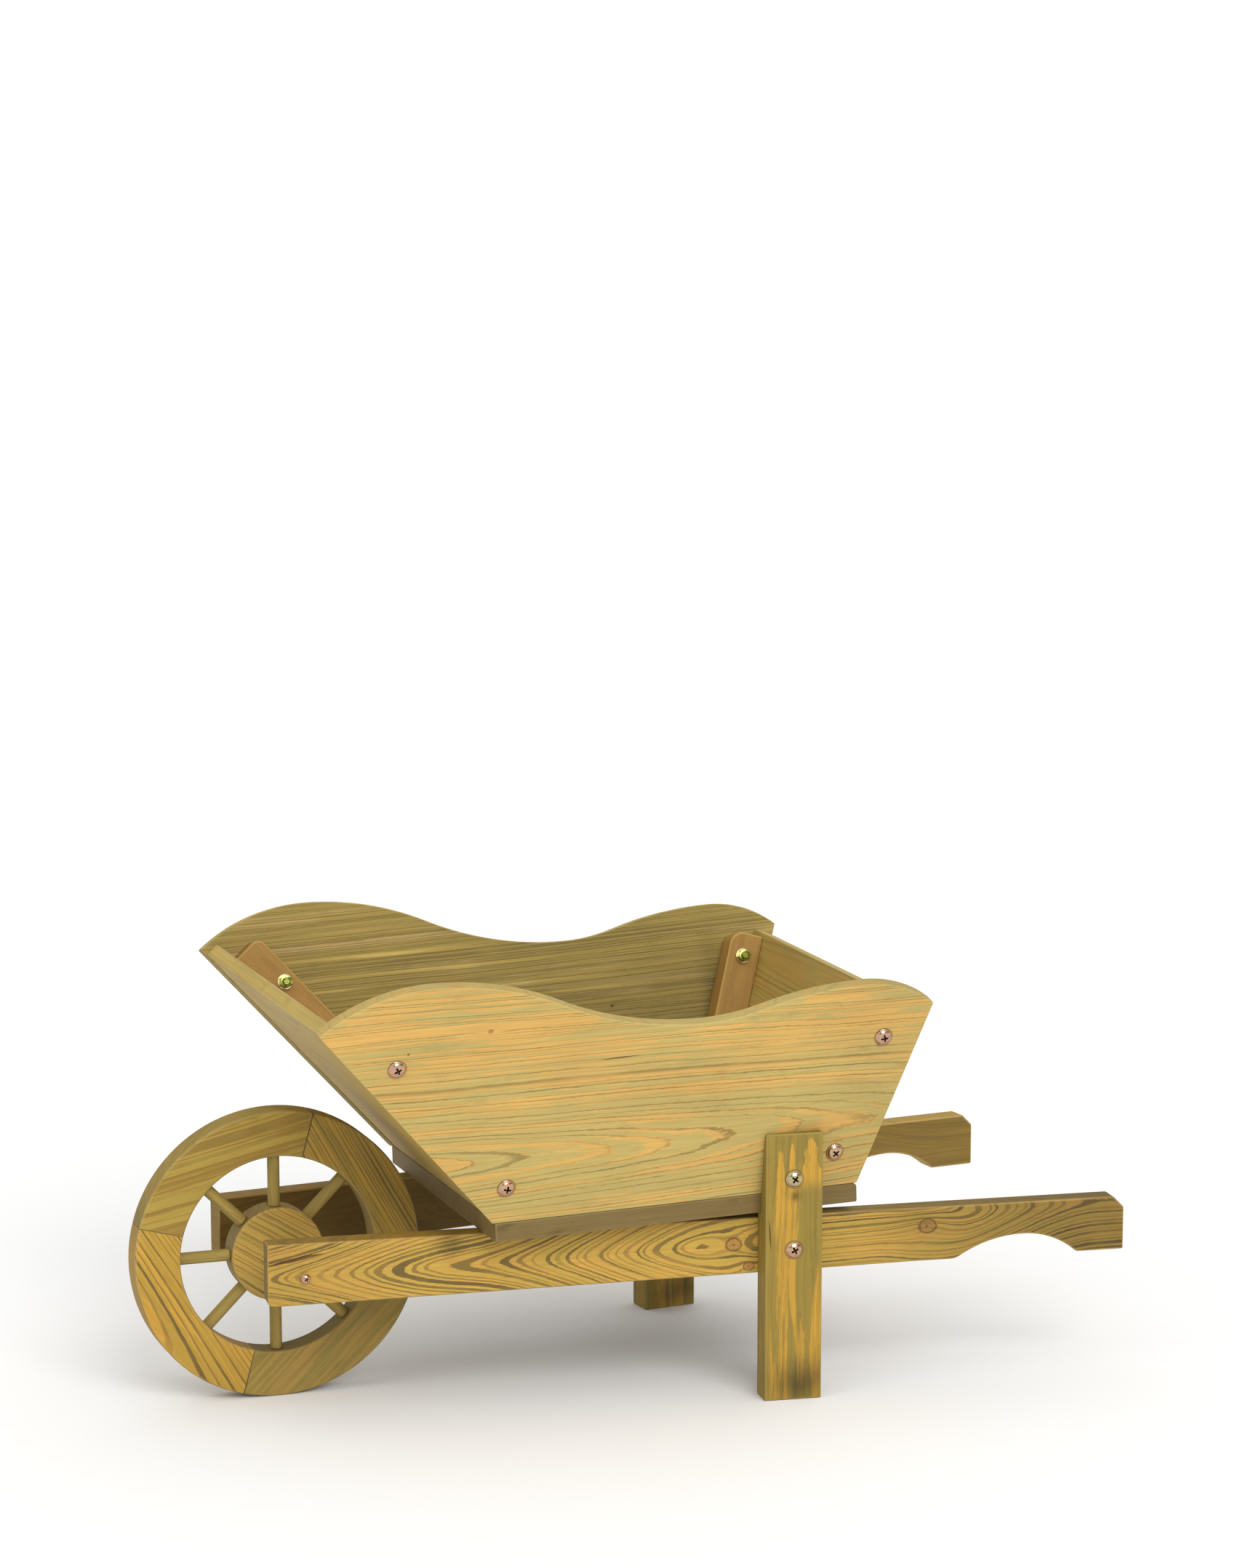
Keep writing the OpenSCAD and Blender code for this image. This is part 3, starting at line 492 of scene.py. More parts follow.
def metal(name, base, tints, rough):
    """Zinc plate with the rainbow film of its passivation, fine pits and scratches."""
    g = Graph(name)
    where = g.add("ShaderNodeTexCoord").outputs["Object"]
    film = g.noise(where, (210, 210, 210), 1.5, 0.5, 1.2)
    pits = g.noise(where, (1700, 1700, 1700), 3.0, 0.6)
    scratch = g.noise(where, (600, 7000, 1400), 2.0, 0.5)
    colour = srgb(base)
    for i, tint in enumerate(tints):
        middle = 0.38 + 0.12 * i
        band = g.math("MULTIPLY", g.step(film, middle - 0.09, middle), g.step(film, middle + 0.09, middle))
        colour = g.mix(colour, srgb(tint), g.math("MULTIPLY", band, 0.8))
    colour = g.mix(colour, srgb(TARNISH), g.math("MULTIPLY", g.step(pits, 0.6, 0.8), 0.5))
    g.put(colour, g.shader.inputs["Base Color"])
    g.shader.inputs["Metallic"].default_value = 1.0
    grey = g.math("MULTIPLY_ADD", pits, 0.16, rough - 0.06)
    g.put(g.math("MULTIPLY_ADD", scratch, 0.08, grey), g.shader.inputs["Roughness"])
    g.bump(g.math("MULTIPLY_ADD", scratch, 0.4, pits), 0.02 * MM)
    return g.material


# Pieces

MERGE = 0.002 * MM                 # corners nearer than this are one
FLAT_ANGLE = math.radians(0.3)     # faces that meet at less are one
ARRIS_ANGLE = math.radians(28)     # a board's edges that are sharper are eased
WOOD_SHARP = math.radians(50)      # edges that are sharper look sharp
METAL_SHARP = math.radians(35)
HOLE_REACH = 20 * MM               # a shorter run of edges is a drilled hole's
RING_SHARE = 0.9                   # the outermost places reach further than this share of the furthest
WHEEL_EASE = 0.6 * MM


def cad_mesh(node):
    """A copy of a CAD node's mesh, with the corners that its faces share made one."""
    bm = bmesh.new()
    bm.from_mesh(frame["nodes"][node].data)
    bmesh.ops.remove_doubles(bm, verts=bm.verts, dist=MERGE)
    return bm


def clean_mesh(node):
    """A copy of a CAD node's mesh with its flat faces whole again."""
    bm = cad_mesh(node)
    bmesh.ops.dissolve_limit(bm, angle_limit=FLAT_ANGLE, verts=bm.verts, edges=bm.edges, delimit={"NORMAL"})
    bm.normal_update()
    return bm


def sharp_edges(bm):
    return [e for e in bm.edges if len(e.link_faces) == 2 and e.calc_face_angle(0) > ARRIS_ANGLE]


def edge_groups(edges):
    """The edges in groups that hang together."""
    waiting = set(edges)
    groups = []
    for start in edges:
        if start not in waiting:
            continue
        waiting.remove(start)
        group, queue = [start], [start]
        while queue:
            edge = queue.pop()
            for corner in edge.verts:
                for other in corner.link_edges:
                    if other in waiting:
                        waiting.remove(other)
                        group.append(other)
                        queue.append(other)
        groups.append(group)
    return groups


def reach(edges):
    """The longest side of the box round these edges."""
    places = [v.co for e in edges for v in e.verts]
    return max(max(p[i] for p in places) - min(p[i] for p in places) for i in range(3))


def ease_edges(bm, width):
    """Rounds a board's arrises, and leaves its drilled holes alone. Marks the new faces."""
    mark = bm.faces.layers.float.new("arris")
    outer = [e for group in edge_groups(sharp_edges(bm)) if reach(group) > HOLE_REACH for e in group]
    made = bmesh.ops.bevel(bm, geom=outer, offset=width, offset_type="OFFSET", segments=2,
                           profile=0.5, affect="EDGES", clamp_overlap=True, loop_slide=False)
    for face in made["faces"]:
        if face.is_valid:
            face[mark] = 1.0
    bm.normal_update()


def facing(face):
    """A face's direction, rounded so that faces in one plane agree."""
    return tuple(round(c, 2) for c in face.normal)


def board_axes(bm, outward):
    """Origin and axes of a board: along its longest edge, across its face, and out of the face."""
    areas = {}
    for face in bm.faces:
        areas[facing(face)] = areas.get(facing(face), 0) + face.calc_area()
    outer = [way for way in areas if Vector(way).dot(outward) > 0.5]
    widest = max(outer, key=lambda way: (round(areas[way], 7), way))
    out = next(f.normal.copy() for f in bm.faces if facing(f) == widest)
    edges = [e for e in bm.edges if any(facing(f) == widest for f in e.link_faces)]
    longest = max(edges, key=lambda e: round(e.calc_length(), 6))
    origin, far_end = (v.co.copy() for v in longest.verts)
    along = (far_end - origin).normalized()
    if max(along, key=abs) < 0:
        origin, along = far_end, -along
    across = out.cross(along)
    if max(across, key=abs) < 0:
        across = -across
    return origin, along, across, out


def finish_mesh(bm, name, material, axes_at):
    """Makes the object. axes_at gives the board's origin and axes at a place, which its grain follows."""
    mesh = bpy.data.meshes.new(name)
    bm.to_mesh(mesh)
    bm.free()
    grain = mesh.attributes.new("grain", "FLOAT_VECTOR", "POINT")
    for vertex, place in zip(mesh.vertices, grain.data):
        origin, *axes = axes_at(vertex.co)
        place.vector = [(vertex.co - origin).dot(axis) for axis in axes]
    face_out = mesh.attributes.new("face_out", "FLOAT_VECTOR", "FACE")
    for polygon, place in zip(mesh.polygons, face_out.data):
        origin, *axes = axes_at(polygon.center)
        place.vector = [polygon.normal.dot(axis) for axis in axes]
    mesh.materials.append(material)
    mesh.shade_smooth()
    mesh.set_sharp_from_angle(angle=WOOD_SHARP)
    piece = bpy.data.objects.new(name, mesh)
    bpy.context.scene.collection.objects.link(piece)
    weighted = piece.modifiers.new("even shading", "WEIGHTED_NORMAL")
    weighted.keep_sharp = True
    weighted.weight = 90
    return piece


def dress(piece, node, body):
    """Says what the piece moves with, and hides the CAD node that it stands for."""
    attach(piece, body)
    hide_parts(node)


def ring_middle(places):
    """The middle of the circle on which the outermost of these places lie."""
    rough = sum(places, Vector()) / len(places)
    furthest = max((p - rough).length for p in places)
    ring = [p for p in places if (p - rough).length > RING_SHARE * furthest]
    first = ring[0]
    one = max(ring, key=lambda p: (p - first).length) - first
    other = max(ring, key=lambda p: one.cross(p - first).length) - first
    normal = one.cross(other)
    offset = normal.cross(one) * other.length_squared + other.cross(normal) * one.length_squared
    return first + offset / (2 * normal.length_squared)


def flat_sides(node):
    """For each solid in a CAD node, the middle, direction and reach ahead of its largest flat side.

    Where two sides are as large, it is the one that looks away from the object's middle plane."""
    bm = cad_mesh(node)
    bm.faces.index_update()
    found = []
    for group in edge_groups(bm.edges):
        sides = {}
        for face in sorted({f for e in group for f in e.link_faces}, key=lambda f: f.index):
            level = round(face.normal.dot(face.verts[0].co), 4)
            sides.setdefault((*facing(face), level), []).append(face)
        areas = {key: round(sum(f.calc_area() for f in faces) / MM ** 2) for key, faces in sides.items()}
        outwards = {key: faces[0].normal.y * faces[0].verts[0].co.y for key, faces in sides.items()}
        largest = sides[max(sides, key=lambda key: (areas[key], outwards[key]))]
        middle = ring_middle([v.co for f in largest for v in f.verts])
        direction = max(largest, key=lambda f: f.calc_area()).normal.copy()
        ahead = max((v.co - middle).dot(direction) for e in group for v in e.verts)
        found.append((middle, direction, ahead))
    bm.free()
    return sorted(found, key=lambda item: tuple(round(c, 4) for c in item[0]))


def heads_on(axes):
    """Places along and across a board of the bolt heads that sit on its face."""
    origin, along, across, out = axes
    offsets = [middle - origin for node in ("tub_bolts", "leg_bolts") for middle, *_ in flat_sides(node)]
    on_face = [offset for offset in offsets if abs(offset.dot(out)) < 1 * MM]
    return [(offset.dot(along), offset.dot(across)) for offset in on_face]


def board(node, look, outward, ease=1.0 * MM):
    """A board whose pattern is laid out on the face that looks this way."""
    bm = clean_mesh(node)
    axes = board_axes(bm, outward)
    ease_edges(bm, ease)
    piece = finish_mesh(bm, node + "_board", wood(node + "_wood", look, heads_on(axes)), lambda place: axes)
    dress(piece, node, BODY_OF[node])


def turned(node, material, axes_at):
    """A piece of the wheel."""
    bm = clean_mesh(node)
    ease_edges(bm, WHEEL_EASE)
    piece = finish_mesh(bm, node + "_wood", material, axes_at)
    dress(piece, node, BODY_OF[node])
    return piece


# How each board looks

SIDE_LEFT = Wood(
    early="b6a15e", late="7b703e", warm="cea358", pith=(0.057, 0.012), slope=(0.0, 0.07), ring=3.8 * MM,
    late_share=0.12, tip=0.35, contrast=0.85, warmth=0.5, banding=0.42, lean=0.45, patch=0.09,
    wobble=2.6 * MM, slender=4.2, bunching=2.0, broken=0.55, arris="bba766",
    patches=((-0.11, 0.18, 0.04, 0.014, 0.35), (-0.005, 0.17, 0.075, 0.013, 0.35),
             (0.254, 0.15, 0.02, 0.008, 0.3), (0.314, 0.149, 0.03, 0.01, 0.3),
             (0.288, 0.032, 0.012, 0.008, 0.4), (0.1, 0.115, 0.18, 0.025, 0.08),
             (-0.04, 0.16, 0.03, 0.006, -0.3), (0.05, 0.05, 0.08, 0.03, -0.06),
             (0.30, 0.09, 0.06, 0.03, -0.12)),
    knots=((-0.009, 0.172, 1.5 * MM, 5 * MM),),
    cracks=((0.084, 0.137, 0.116, 0.138, 0.5 * MM),),
    stains=((0.33, 0.10, 0.05, 0.08, 0.12), (0.27, 0.02, 0.06, 0.03, 0.1),
            (-0.076, 0.159, 0.001, 0.001, 0.8)),
    inner=0.85, edge=0.85, seed=0.0)
SIDE_RIGHT = Wood(
    early="94803f", late="5c4a27", warm="ac935a", pith=(-0.03, 0.02), slope=(0.02, 0.03), ring=2.4 * MM,
    late_share=0.2, contrast=0.6, warmth=0.25, banding=0.1, lean=0.1, patch=0.22, slender=40.0,
    wobble=1.6 * MM, relief=0.6 * MM, arris="b79f62",
    # Its broad stains darken the lower part of the board and lighten its top: real staining together with painted
    # shade of the tub's depth
    stains=((0.22, 0.06, 0.12, 0.055, 0.3), (-0.02, 0.185, 0.12, 0.025, -0.12),
            (0.02, 0.05, 0.08, 0.05, 0.12), (0.305, 0.1, 0.01, 0.05, 0.3),
            (0.21, 0.1, 0.0015, 0.0015, 0.7), (0.02, 0.163, 0.07, 0.0015, -0.7),
            (0.06, 0.147, 0.08, 0.0013, -0.6), (0.13, 0.128, 0.06, 0.0012, -0.5),
            (0.2, 0.117, 0.05, 0.0014, -0.6), (-0.04, 0.135, 0.03, 0.0012, -0.6)),
    edge=1.2, seed=3.0)
END_BOARD = Wood(
    early="ae964e", late="836d36", warm="b69449", pith=(-0.02, 0.02), slope=(0.01, 0.03), ring=3.6 * MM,
    warmth=0.45, contrast=0.5, arris="b8a577", seam=0.75, edge=1.05, seed=6.0)
# Painted light: its sawn ends are set brighter than its faces (end=1.1)
FLOOR = Wood(
    early="735f35", late="594929", warm="7b693a", pith=(0.12, 0.08), slope=(0.01, 0.02), ring=4.0 * MM,
    contrast=0.5, warmth=0.3, grime=0.4, arris="8c764a", end=1.1, seed=9.0)
BATTEN = Wood(
    early="9b783b", late="775929", warm="a87e3f", pith=(-0.01, 0.03), slope=(0.0, 0.02), ring=3.2 * MM,
    contrast=0.35, warmth=0.5, patch=0.05, arris="b8924e", seed=12.0)
# Painted shade: the inner face of this shaft, in shade under the tub, is darkened
SHAFT_LEFT = Wood(
    early="ba9942", late="625229", warm="c59945", pith=(-0.028, 0.007), slope=(0.015, 0.0), ring=3.2 * MM,
    late_share=0.25, contrast=1.0, warmth=0.5, banding=0.2, patch=0.06, wobble=1.9 * MM, relief=0.5 * MM,
    bunching=2.0,
    knots=((0.385, -0.022, 5 * MM, 13 * MM), (0.398, -0.041, 3.5 * MM, 8 * MM),
           (0.55, -0.016, 5.5 * MM, 14 * MM)),
    lifts=((-0.04, 0.17, -0.04), (0.15, 0.4, -0.066), (0.53, 0.70, 0.045)),
    sways=((0.40, 0.46, 0.03), (0.5, 0.6, -0.015)),
    stains=((0.15, -0.008, 0.012, 0.012, 0.5), (0.02, -0.02, 0.08, 0.08, 0.2),
            (0.54, -0.01, 0.02, 0.02, 0.15)),
    cracks=((0.001, -0.017, 0.045, -0.009, 1.5 * MM),),
    fade=(0.42, 0.68, 0.46), arris="ac8e50", inner=0.4, edge=0.65, seed=15.0)
# Painted shade: the inner face, in shade under the tub, is darkened, and the fade lightens the whole shaft at the
# grip, where that shade ends
SHAFT_RIGHT = Wood(
    early="a88638", late="6c5828", warm="ae8c3c", pith=(-0.03, 0.01), slope=(0.0, 0.015), ring=3.4 * MM,
    late_share=0.28, contrast=0.75, warmth=0.4, wobble=1.4 * MM, relief=0.4 * MM,
    knots=((0.3, -0.03, 5 * MM, 16 * MM),), lifts=((0.0, 0.25, -0.05), (0.45, 0.7, 0.05)),
    fade=(0.45, 0.6, 1.2), arris="b3965a", inner=0.4, edge=0.8, seed=18.0)
LEG = Wood(
    early="8b7631", late="64542b", warm="b98e32", pith=(0.03, 0.02), slope=(0.0, 0.02), ring=3.0 * MM,
    late_share=0.2, contrast=0.35, warmth=0.5, banding=0.15, lean=0.1, patch=0.14, slender=14.0,
    relief=0.35 * MM, arris="9c8848",
    patches=((0.157, 0.044, 0.032, 0.012, -0.6), (0.238, 0.024, 0.036, 0.1, -0.5)),
    flames=((0.213, 0.15, 0.0125, 10 * MM), (0.217, 0.19, 0.022, 7 * MM), (0.221, 0.186, 0.038, 16 * MM)),
    stains=((0.016, 0.031, 0.017, 0.024, 0.65), (0.172, 0.025, 0.004, 0.004, 0.6)),
    cracks=((0.128, 0.0045, 0.152, 0.003, 0.5 * MM),), seed=21.0)
FELLOES = (
    Wood(early="a3893c", late="6c5d2c", warm="93752f", pith=(0.03, 0.03), ring=5 * MM, arris="a08b50",
         contrast=0.4, wobble=1.0 * MM, relief=0.35 * MM, banding=0.3, patch=0.09, slender=7.0,
         edge=0.8, seed=24.0),
    Wood(early="aa8834", late="6a542a", warm="be9238", pith=(-0.12, 0.03), ring=2.9 * MM, arris="b1945a",
         contrast=1.0, late_share=0.15, wobble=0.8 * MM, relief=0.45 * MM, bunching=0.6, banding=0.25,
         edge=0.8, seed=27.0),
    Wood(early="8a7738", late="66562e", warm="9d7f3d", pith=(0.02, 0.06), ring=3.5 * MM, arris="9b8452",
         contrast=0.5, wobble=1.6 * MM, relief=0.35 * MM, patch=0.1, slender=8.0, edge=0.8, seed=30.0),
    Wood(early="9b803b", late="6a5628", warm="ae8c3b", pith=(-0.12, 0.05), ring=3.0 * MM, arris="a28a58",
         contrast=0.9, late_share=0.18, wobble=1.1 * MM, relief=0.4 * MM, bunching=1.2,
         edge=0.8, seed=33.0))
HUB = Wood(
    early="ae9145", late="66522a", warm="b89345", pith=(-0.06, 0.03), ring=2.5 * MM, contrast=0.9,
    late_share=0.25, wobble=1.2 * MM, relief=0.4 * MM, arris="a88c50", edge=0.72, seed=36.0)
DOWEL = Wood(
    early="95803f", late="7a6638", warm="a38b48", pith=(0.02, 0.03), ring=2.5 * MM, contrast=0.4,
    patch=0.04, seed=39.0)

board("side_board_left", SIDE_LEFT, LEFT)
board("side_board_right", SIDE_RIGHT, RIGHT)
board("front_board", END_BOARD, -X_AXIS)
board("rear_board", END_BOARD, X_AXIS)
board("floor_board", FLOOR, -Z_AXIS, ease=1.2 * MM)
for end in ("front", "rear"):
    board(f"batten_{end}_left", BATTEN, RIGHT, ease=1.5 * MM)
    board(f"batten_{end}_right", BATTEN, LEFT, ease=1.5 * MM)
board("shaft_left", SHAFT_LEFT, LEFT, ease=1.4 * MM)
board("shaft_right", SHAFT_RIGHT, RIGHT, ease=1.4 * MM)
board("leg_left", LEG, LEFT, ease=1.4 * MM)
board("leg_right", LEG, RIGHT, ease=1.4 * MM)


# The wheel

FELLOE_GRAIN = (15, -55, 42, -60)     # degrees from +X towards +Z
HUB_GRAIN = -30                       # the same
SPOKES = 8
SPOKE_SHIFT = 0.02     # metres between two spokes' places in the grain, for each radian between them


def wheel_axes(turn, shift=0.0):
    """Origin and axes in the wheel's plane, turned by this angle from +X towards +Z."""
    along = Vector((math.cos(turn), 0, math.sin(turn)))
    return AXLE + Y_AXIS * shift, along, Vector((-math.sin(turn), 0, math.cos(turn))), LEFT


def spoke_axes(place):
    """Axes along the nearest spoke. Each spoke has a piece of the grain to itself."""
    offset = place - AXLE
    step = 2 * math.pi / SPOKES
    turn = round(math.atan2(offset.z, offset.x) / step) * step
    return wheel_axes(turn, turn * SPOKE_SHIFT)


def mark_joints(piece):
    """Marks the faces that turn towards the next felloe."""
    marks = piece.data.attributes.new("joint", "FLOAT", "FACE")
    for face, mark in zip(piece.data.polygons, marks.data):
        round_rim = Y_AXIS.cross(face.center - AXLE).normalized()
        mark.value = abs(face.normal.dot(round_rim))


for i, (look, turn) in enumerate(zip(FELLOES, FELLOE_GRAIN), 1):
    axes = wheel_axes(math.radians(turn))
    mark_joints(turned(f"felloe_{i}", wood(f"felloe_{i}_grain", look), lambda place, axes=axes: axes))
turned("wheel_hub", wood("hub_grain", HUB), lambda place: wheel_axes(math.radians(HUB_GRAIN)))
dowel_wood = wood("dowel_grain", DOWEL)
turned("wheel_spokes", dowel_wood, spoke_axes)
turned("axle_dowel", dowel_wood, lambda place: (AXLE, Y_AXIS, X_AXIS, Z_AXIS))


# Shapes of the fasteners, each on its own axis: +Z from the seat of its head to its tip

def lathe(profile, corners=48):
    """A surface turned round +Z, open at its ends.

    Each row is a radius and a height, and either may be a function of the angle."""
    bm = bmesh.new()
    rows = []
    for radius, height in profile:
        row = []
        for i in range(corners):
            angle = 2 * math.pi * i / corners
            r = radius(angle) if callable(radius) else radius
            z = height(angle) if callable(height) else height
            row.append(bm.verts.new((r * math.cos(angle), r * math.sin(angle), z)))
        rows.append(row)
    for low, high in zip(rows, rows[1:]):
        for i in range(corners):
            bm.faces.new((low[i], low[(i + 1) % corners], high[(i + 1) % corners], high[i]))
    return bm, rows


def close_ends(bm, rows):
    """Closes a turned surface with a flat face at each end."""
    bm.faces.new(list(reversed(rows[0])))
    bm.faces.new(rows[-1])
    bmesh.ops.recalc_face_normals(bm, faces=bm.faces)
    return bm


def close_ring(bm, rows):
    """Closes a turned surface through its middle, from its last row to its first."""
    corners = len(rows[0])
    for i in range(corners):
        bm.faces.new((rows[-1][i], rows[-1][(i + 1) % corners], rows[0][(i + 1) % corners], rows[0][i]))
    bmesh.ops.recalc_face_normals(bm, faces=bm.faces)
    return bm


def dome_height(radius, height, rim, r):
    """Height of a dome that starts at its rim and is as high as height in the middle."""
    return rim + (height - rim) * (1 - (r / radius) ** 2) ** DOME_POWER


def dome(radius, height, rim):
    """Rows of a domed head above its rim, from the middle outwards."""
    steps = 9
    innermost = 0.03
    crown = [radius * max(i / steps, innermost) for i in range(steps + 1)]
    return [(r, -dome_height(radius, height, rim, r)) for r in crown]


def cross_cutter(top, scale):
    """A tapered cross with a pointed bottom, to cut the driver's recess."""
    bm = bmesh.new()
    depth = RECESS_DEPTH * scale

    def outline(arm, half, z):
        points = [(half, half), (arm, half), (arm, -half), (half, -half), (half, -arm), (-half, -arm),
                  (-half, -half), (-arm, -half), (-arm, half), (-half, half), (-half, arm), (half, arm)]
        return [bm.verts.new((x, y, z)) for x, y in points]

    upper = outline(RECESS_ARM * scale, RECESS_HALF * scale, top)
    lower = outline(LOW_ARM * scale, LOW_HALF * scale, top + depth)
    point = bm.verts.new((0, 0, top + depth * RECESS_POINT))
    bm.faces.new(upper)
    for i in range(len(upper)):
        j = (i + 1) % len(upper)
        bm.faces.new((upper[i], lower[i], lower[j], upper[j]))
        bm.faces.new((lower[i], point, lower[j]))
    bmesh.ops.recalc_face_normals(bm, faces=bm.faces)
    return bm


def as_object(bm, name):
    mesh = bpy.data.meshes.new(name)
    bm.to_mesh(mesh)
    bm.free()
    made = bpy.data.objects.new(name, mesh)
    bpy.context.scene.collection.objects.link(made)
    return made


def cut_recess(bm, cutter):
    """The head less its recess, as a new mesh."""
    body = as_object(bm, "recess_body")
    tool = as_object(cutter, "recess_tool")
    cut = body.modifiers.new("recess", "BOOLEAN")
    cut.operation = "DIFFERENCE"
    cut.solver = "EXACT"
    cut.object = tool
    result = bmesh.new()
    result.from_mesh(body.evaluated_get(bpy.context.evaluated_depsgraph_get()).to_mesh())
    for scratch in (body, tool):
        bpy.data.objects.remove(scratch)
    return result


# Marks for the faces that get a material of their own

RECESSED = 1
AT_TIP = 2


def headed(head_r, head_h, shank_r, length, scale):
    """A domed, cross-recessed head on a shank with its thread at the end."""
    rim = head_h * RIM_SHARE
    crown_r = head_r * CROWN_SHARE
    rows = dome(crown_r, head_h, rim)
    rows += [(head_r * r, -rim * z) for r, z in RIM_ROWS]
    start = max(length - THREADED, 1 * MM)
    rows += [(shank_r, 0), (shank_r, start)]
    turns = int((length - start) / THREAD) - 1
    for i in range(turns):
        rows.append((shank_r * THREAD_ROOT, start + (i + 0.5) * THREAD))
        rows.append((shank_r, start + (i + 1) * THREAD))
    rows.append((shank_r * TIP_SHARE, length))
    clear = 0.1 * MM
    body = cut_recess(close_ends(*lathe(rows)), cross_cutter(-head_h - clear, scale))
    for face in body.faces:
        middle = face.calc_center_median()
        r = math.hypot(middle.x, middle.y)
        if r < RECESS_ARM * scale and 0 > middle.z > clear - dome_height(crown_r, head_h, rim, r):
            face.material_index = RECESSED
        elif middle.z > start:
            face.material_index = AT_TIP
    return body


def bolt(length):
    return headed(HEAD_R, HEAD_H, BOLT_R, length, 1)


def axle_screw(length):
    return headed(AXLE_HEAD_R, AXLE_HEAD_H, AXLE_R, length, AXLE_RECESS)


def washer():
    rows = [(BORE_R, 0), (WASHER_R - WASHER_EASE, 0), (WASHER_R, -WASHER_EASE),
            (WASHER_R, WASHER_EASE - WASHER_T), (WASHER_R - WASHER_EASE, -WASHER_T),
            (BORE_R + WASHER_EASE, -WASHER_T), (BORE_R, WASHER_EASE - WASHER_T)]
    return close_ring(*lathe(rows, 64))


def nut():
    """A hexagon nut, chamfered where its corners pass the washer face."""
    step = math.pi / 3

    def corner_r(angle):
        return NUT_FLAT / math.cos((angle + step / 2) % step - step / 2)

    def drop(angle):
        return (corner_r(angle) - NUT_FACE_R) * math.tan(NUT_CHAMFER)

    rows = [(BORE_R, 0), (NUT_FACE_R, 0), (corner_r, lambda angle: -drop(angle)),
            (corner_r, lambda angle: drop(angle) - NUT_T), (NUT_FACE_R, -NUT_T),
            (BORE_R + BORE_EASE, -NUT_T), (BORE_R, BORE_EASE - NUT_T)]
    return close_ring(*lathe(rows, 72))


pink_zinc = metal("pink_zinc", "c29c8c", ("d88c7c", "ccae74", "a89088"), 0.1)
gold_zinc = metal("gold_zinc", "bdb088", ("c6b868", "b09888"), 0.12)
green_zinc = metal("green_zinc", "a2aa44", ("b8c834", "c5c584", "78863a"), 0.1)
cream_zinc = metal("cream_zinc", "d8cda0", ("d6c97a", "c9b3ad"), 0.25)
dull_zinc = metal("dull_zinc", "9c8c74", ("8a7660", "a58f78"), 0.35)
# Painted shade: the dark metal in the drivers' recesses stands in for the shade inside them
recess_shade_zinc = metal("recess_shade_zinc", "46362c", ("5c4626", "3a2e2c"), 0.4)


def lay(node, build, materials):
    """Builds one fastener on each solid of a CAD node, each turned differently.

    build is given the length ahead of the seat. The materials take turns, and recesses and tips have
    their own."""
    whole = bmesh.new()
    for i, (middle, direction, ahead) in enumerate(flat_sides(node)):
        single = build(ahead)
        place = Matrix.Translation(middle) @ direction.to_track_quat("Z", "Y").to_matrix().to_4x4()
        place = place @ Matrix.Rotation(NEXT_TURN * (i + 1), 4, "Z")
        bmesh.ops.transform(single, matrix=place, verts=single.verts)
        for face in single.faces:
            marked = face.material_index
            face.material_index = len(materials) - 1 + marked if marked else i % len(materials)
        mesh = bpy.data.meshes.new("single")
        single.to_mesh(mesh)
        single.free()
        whole.from_mesh(mesh)
        bpy.data.meshes.remove(mesh)
    piece = as_object(whole, node + "_metal")
    for material in (*materials, recess_shade_zinc, green_zinc):
        piece.data.materials.append(material)
    piece.data.shade_smooth()
    piece.data.set_sharp_from_angle(angle=METAL_SHARP)
    dress(piece, node, BODY_OF[node])


lay("tub_bolts", bolt, [pink_zinc])
lay("leg_bolts", bolt, [pink_zinc, gold_zinc])
lay("axle_screws", axle_screw, [pink_zinc])
for group in ("tub", "leg"):
    lay(group + "_washers", lambda ahead: washer(), [cream_zinc])
    lay(group + "_nuts", lambda ahead: nut(), [green_zinc])

# The countersunk screws and the pins hardly show, so they keep their CAD shapes
for node in ("floor_screws", "shaft_screws", "front_board_pins", "rear_board_pins"):
    frame["nodes"][node].data.materials.clear()
    frame["nodes"][node].data.materials.append(dull_zinc)


# Floor and light

FLOOR_HALF = 30     # metres from the middle to each side
SUN_AWAY = 5

# Height of the ray, from 0 where it is level to 1 where it is upright, and the room's brightness there
SKY = ((0.0, 1.0), (0.2, 1.0), (0.3, 0.3), (0.5, 0.35), (0.75, 1.1), (1.0, 1.2))


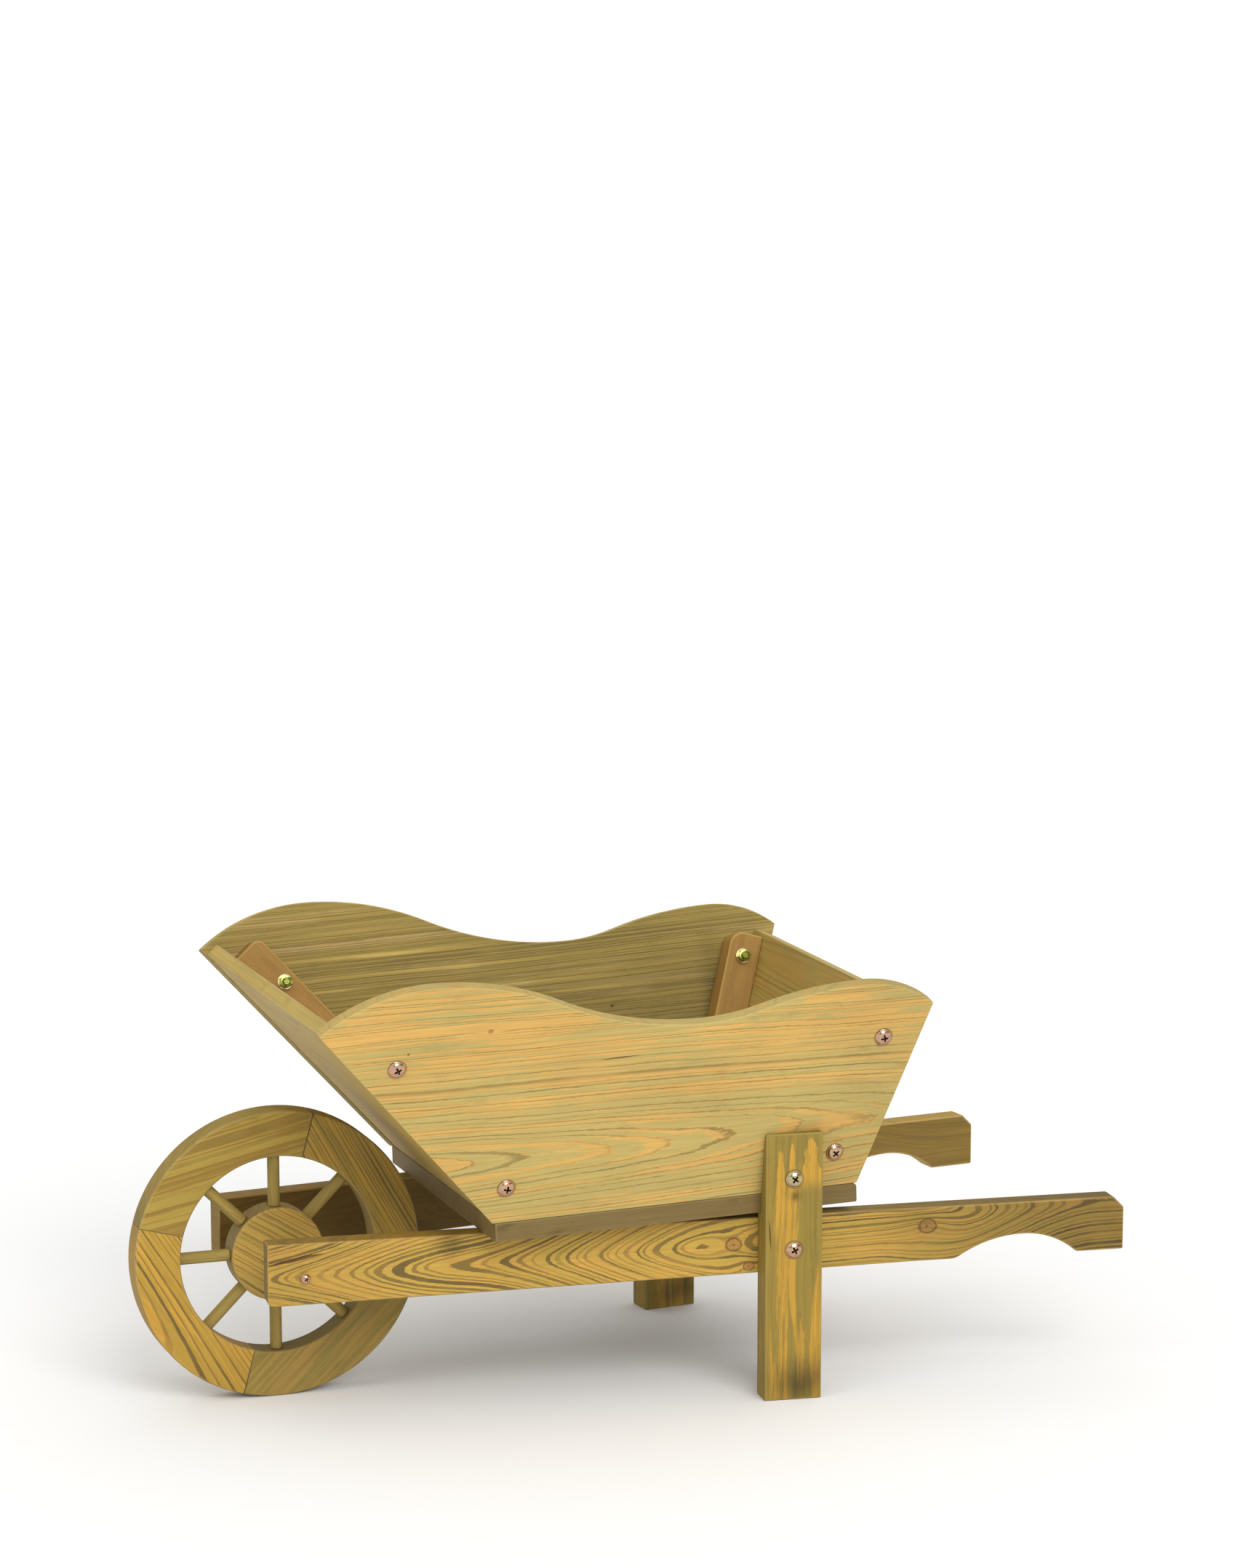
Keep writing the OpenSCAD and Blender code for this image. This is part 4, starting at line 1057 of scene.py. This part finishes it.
def make_stage():
    """A plain, pale floor."""
    g = Graph("pale_floor")
    where = g.add("ShaderNodeTexCoord").outputs["Object"]
    tone = g.noise(where, (1.5, 1.5, 1.5))
    g.put(g.mix(srgb("efefee"), srgb("f3f3f2"), tone), g.shader.inputs["Base Color"])
    g.shader.inputs["Roughness"].default_value = 0.9
    mesh = bpy.data.meshes.new("floor")
    corners = [(x * FLOOR_HALF, y * FLOOR_HALF, 0) for x, y in ((-1, -1), (1, -1), (1, 1), (-1, 1))]
    mesh.from_pydata(corners, [], [(0, 1, 2, 3)])
    mesh.materials.append(g.material)
    floor = bpy.data.objects.new("floor", mesh)
    bpy.context.scene.collection.objects.link(floor)


def make_sky():
    """A white room: bright walls low down, a darker band, and a bright ceiling."""
    world = bpy.data.worlds.new("studio")
    world.use_nodes = True
    tree = world.node_tree
    where = tree.nodes.new("ShaderNodeTexCoord")
    parts = tree.nodes.new("ShaderNodeSeparateXYZ")
    ramp = tree.nodes.new("ShaderNodeValToRGB")
    top = max(value for height, value in SKY)
    marks = ramp.color_ramp.elements
    while len(marks) < len(SKY):
        marks.new(0.5)
    for mark, (height, value) in zip(marks, SKY):
        mark.position = height
        mark.color = (value / top, value / top, value / top, 1)
    tree.links.new(where.outputs["Generated"], parts.inputs[0])
    tree.links.new(parts.outputs["Z"], ramp.inputs["Fac"])
    tree.links.new(ramp.outputs["Color"], tree.nodes["Background"].inputs["Color"])
    tree.nodes["Background"].inputs["Strength"].default_value = top
    bpy.context.scene.world = world


def soft_sun(name, towards, width, power):
    """A far, wide lamp in the direction towards, whose width is its angle in degrees."""
    data = bpy.data.lights.new(name, "SUN")
    data.energy = power
    data.angle = math.radians(width)
    lamp = bpy.data.objects.new(name, data)
    lamp.location = Vector(towards).normalized() * SUN_AWAY
    lamp.rotation_euler = Vector(towards).to_track_quat("Z", "Y").to_euler()
    bpy.context.scene.collection.objects.link(lamp)


def make_light():
    make_sky()
    soft_sun("key", (0.05, -0.85, 0.6), 36, 1.6)
    soft_sun("fill", (-0.9, -0.35, 0.6), 40, 0.25)
    bpy.context.scene.view_settings.view_transform = "Standard"


make_stage()
make_light()
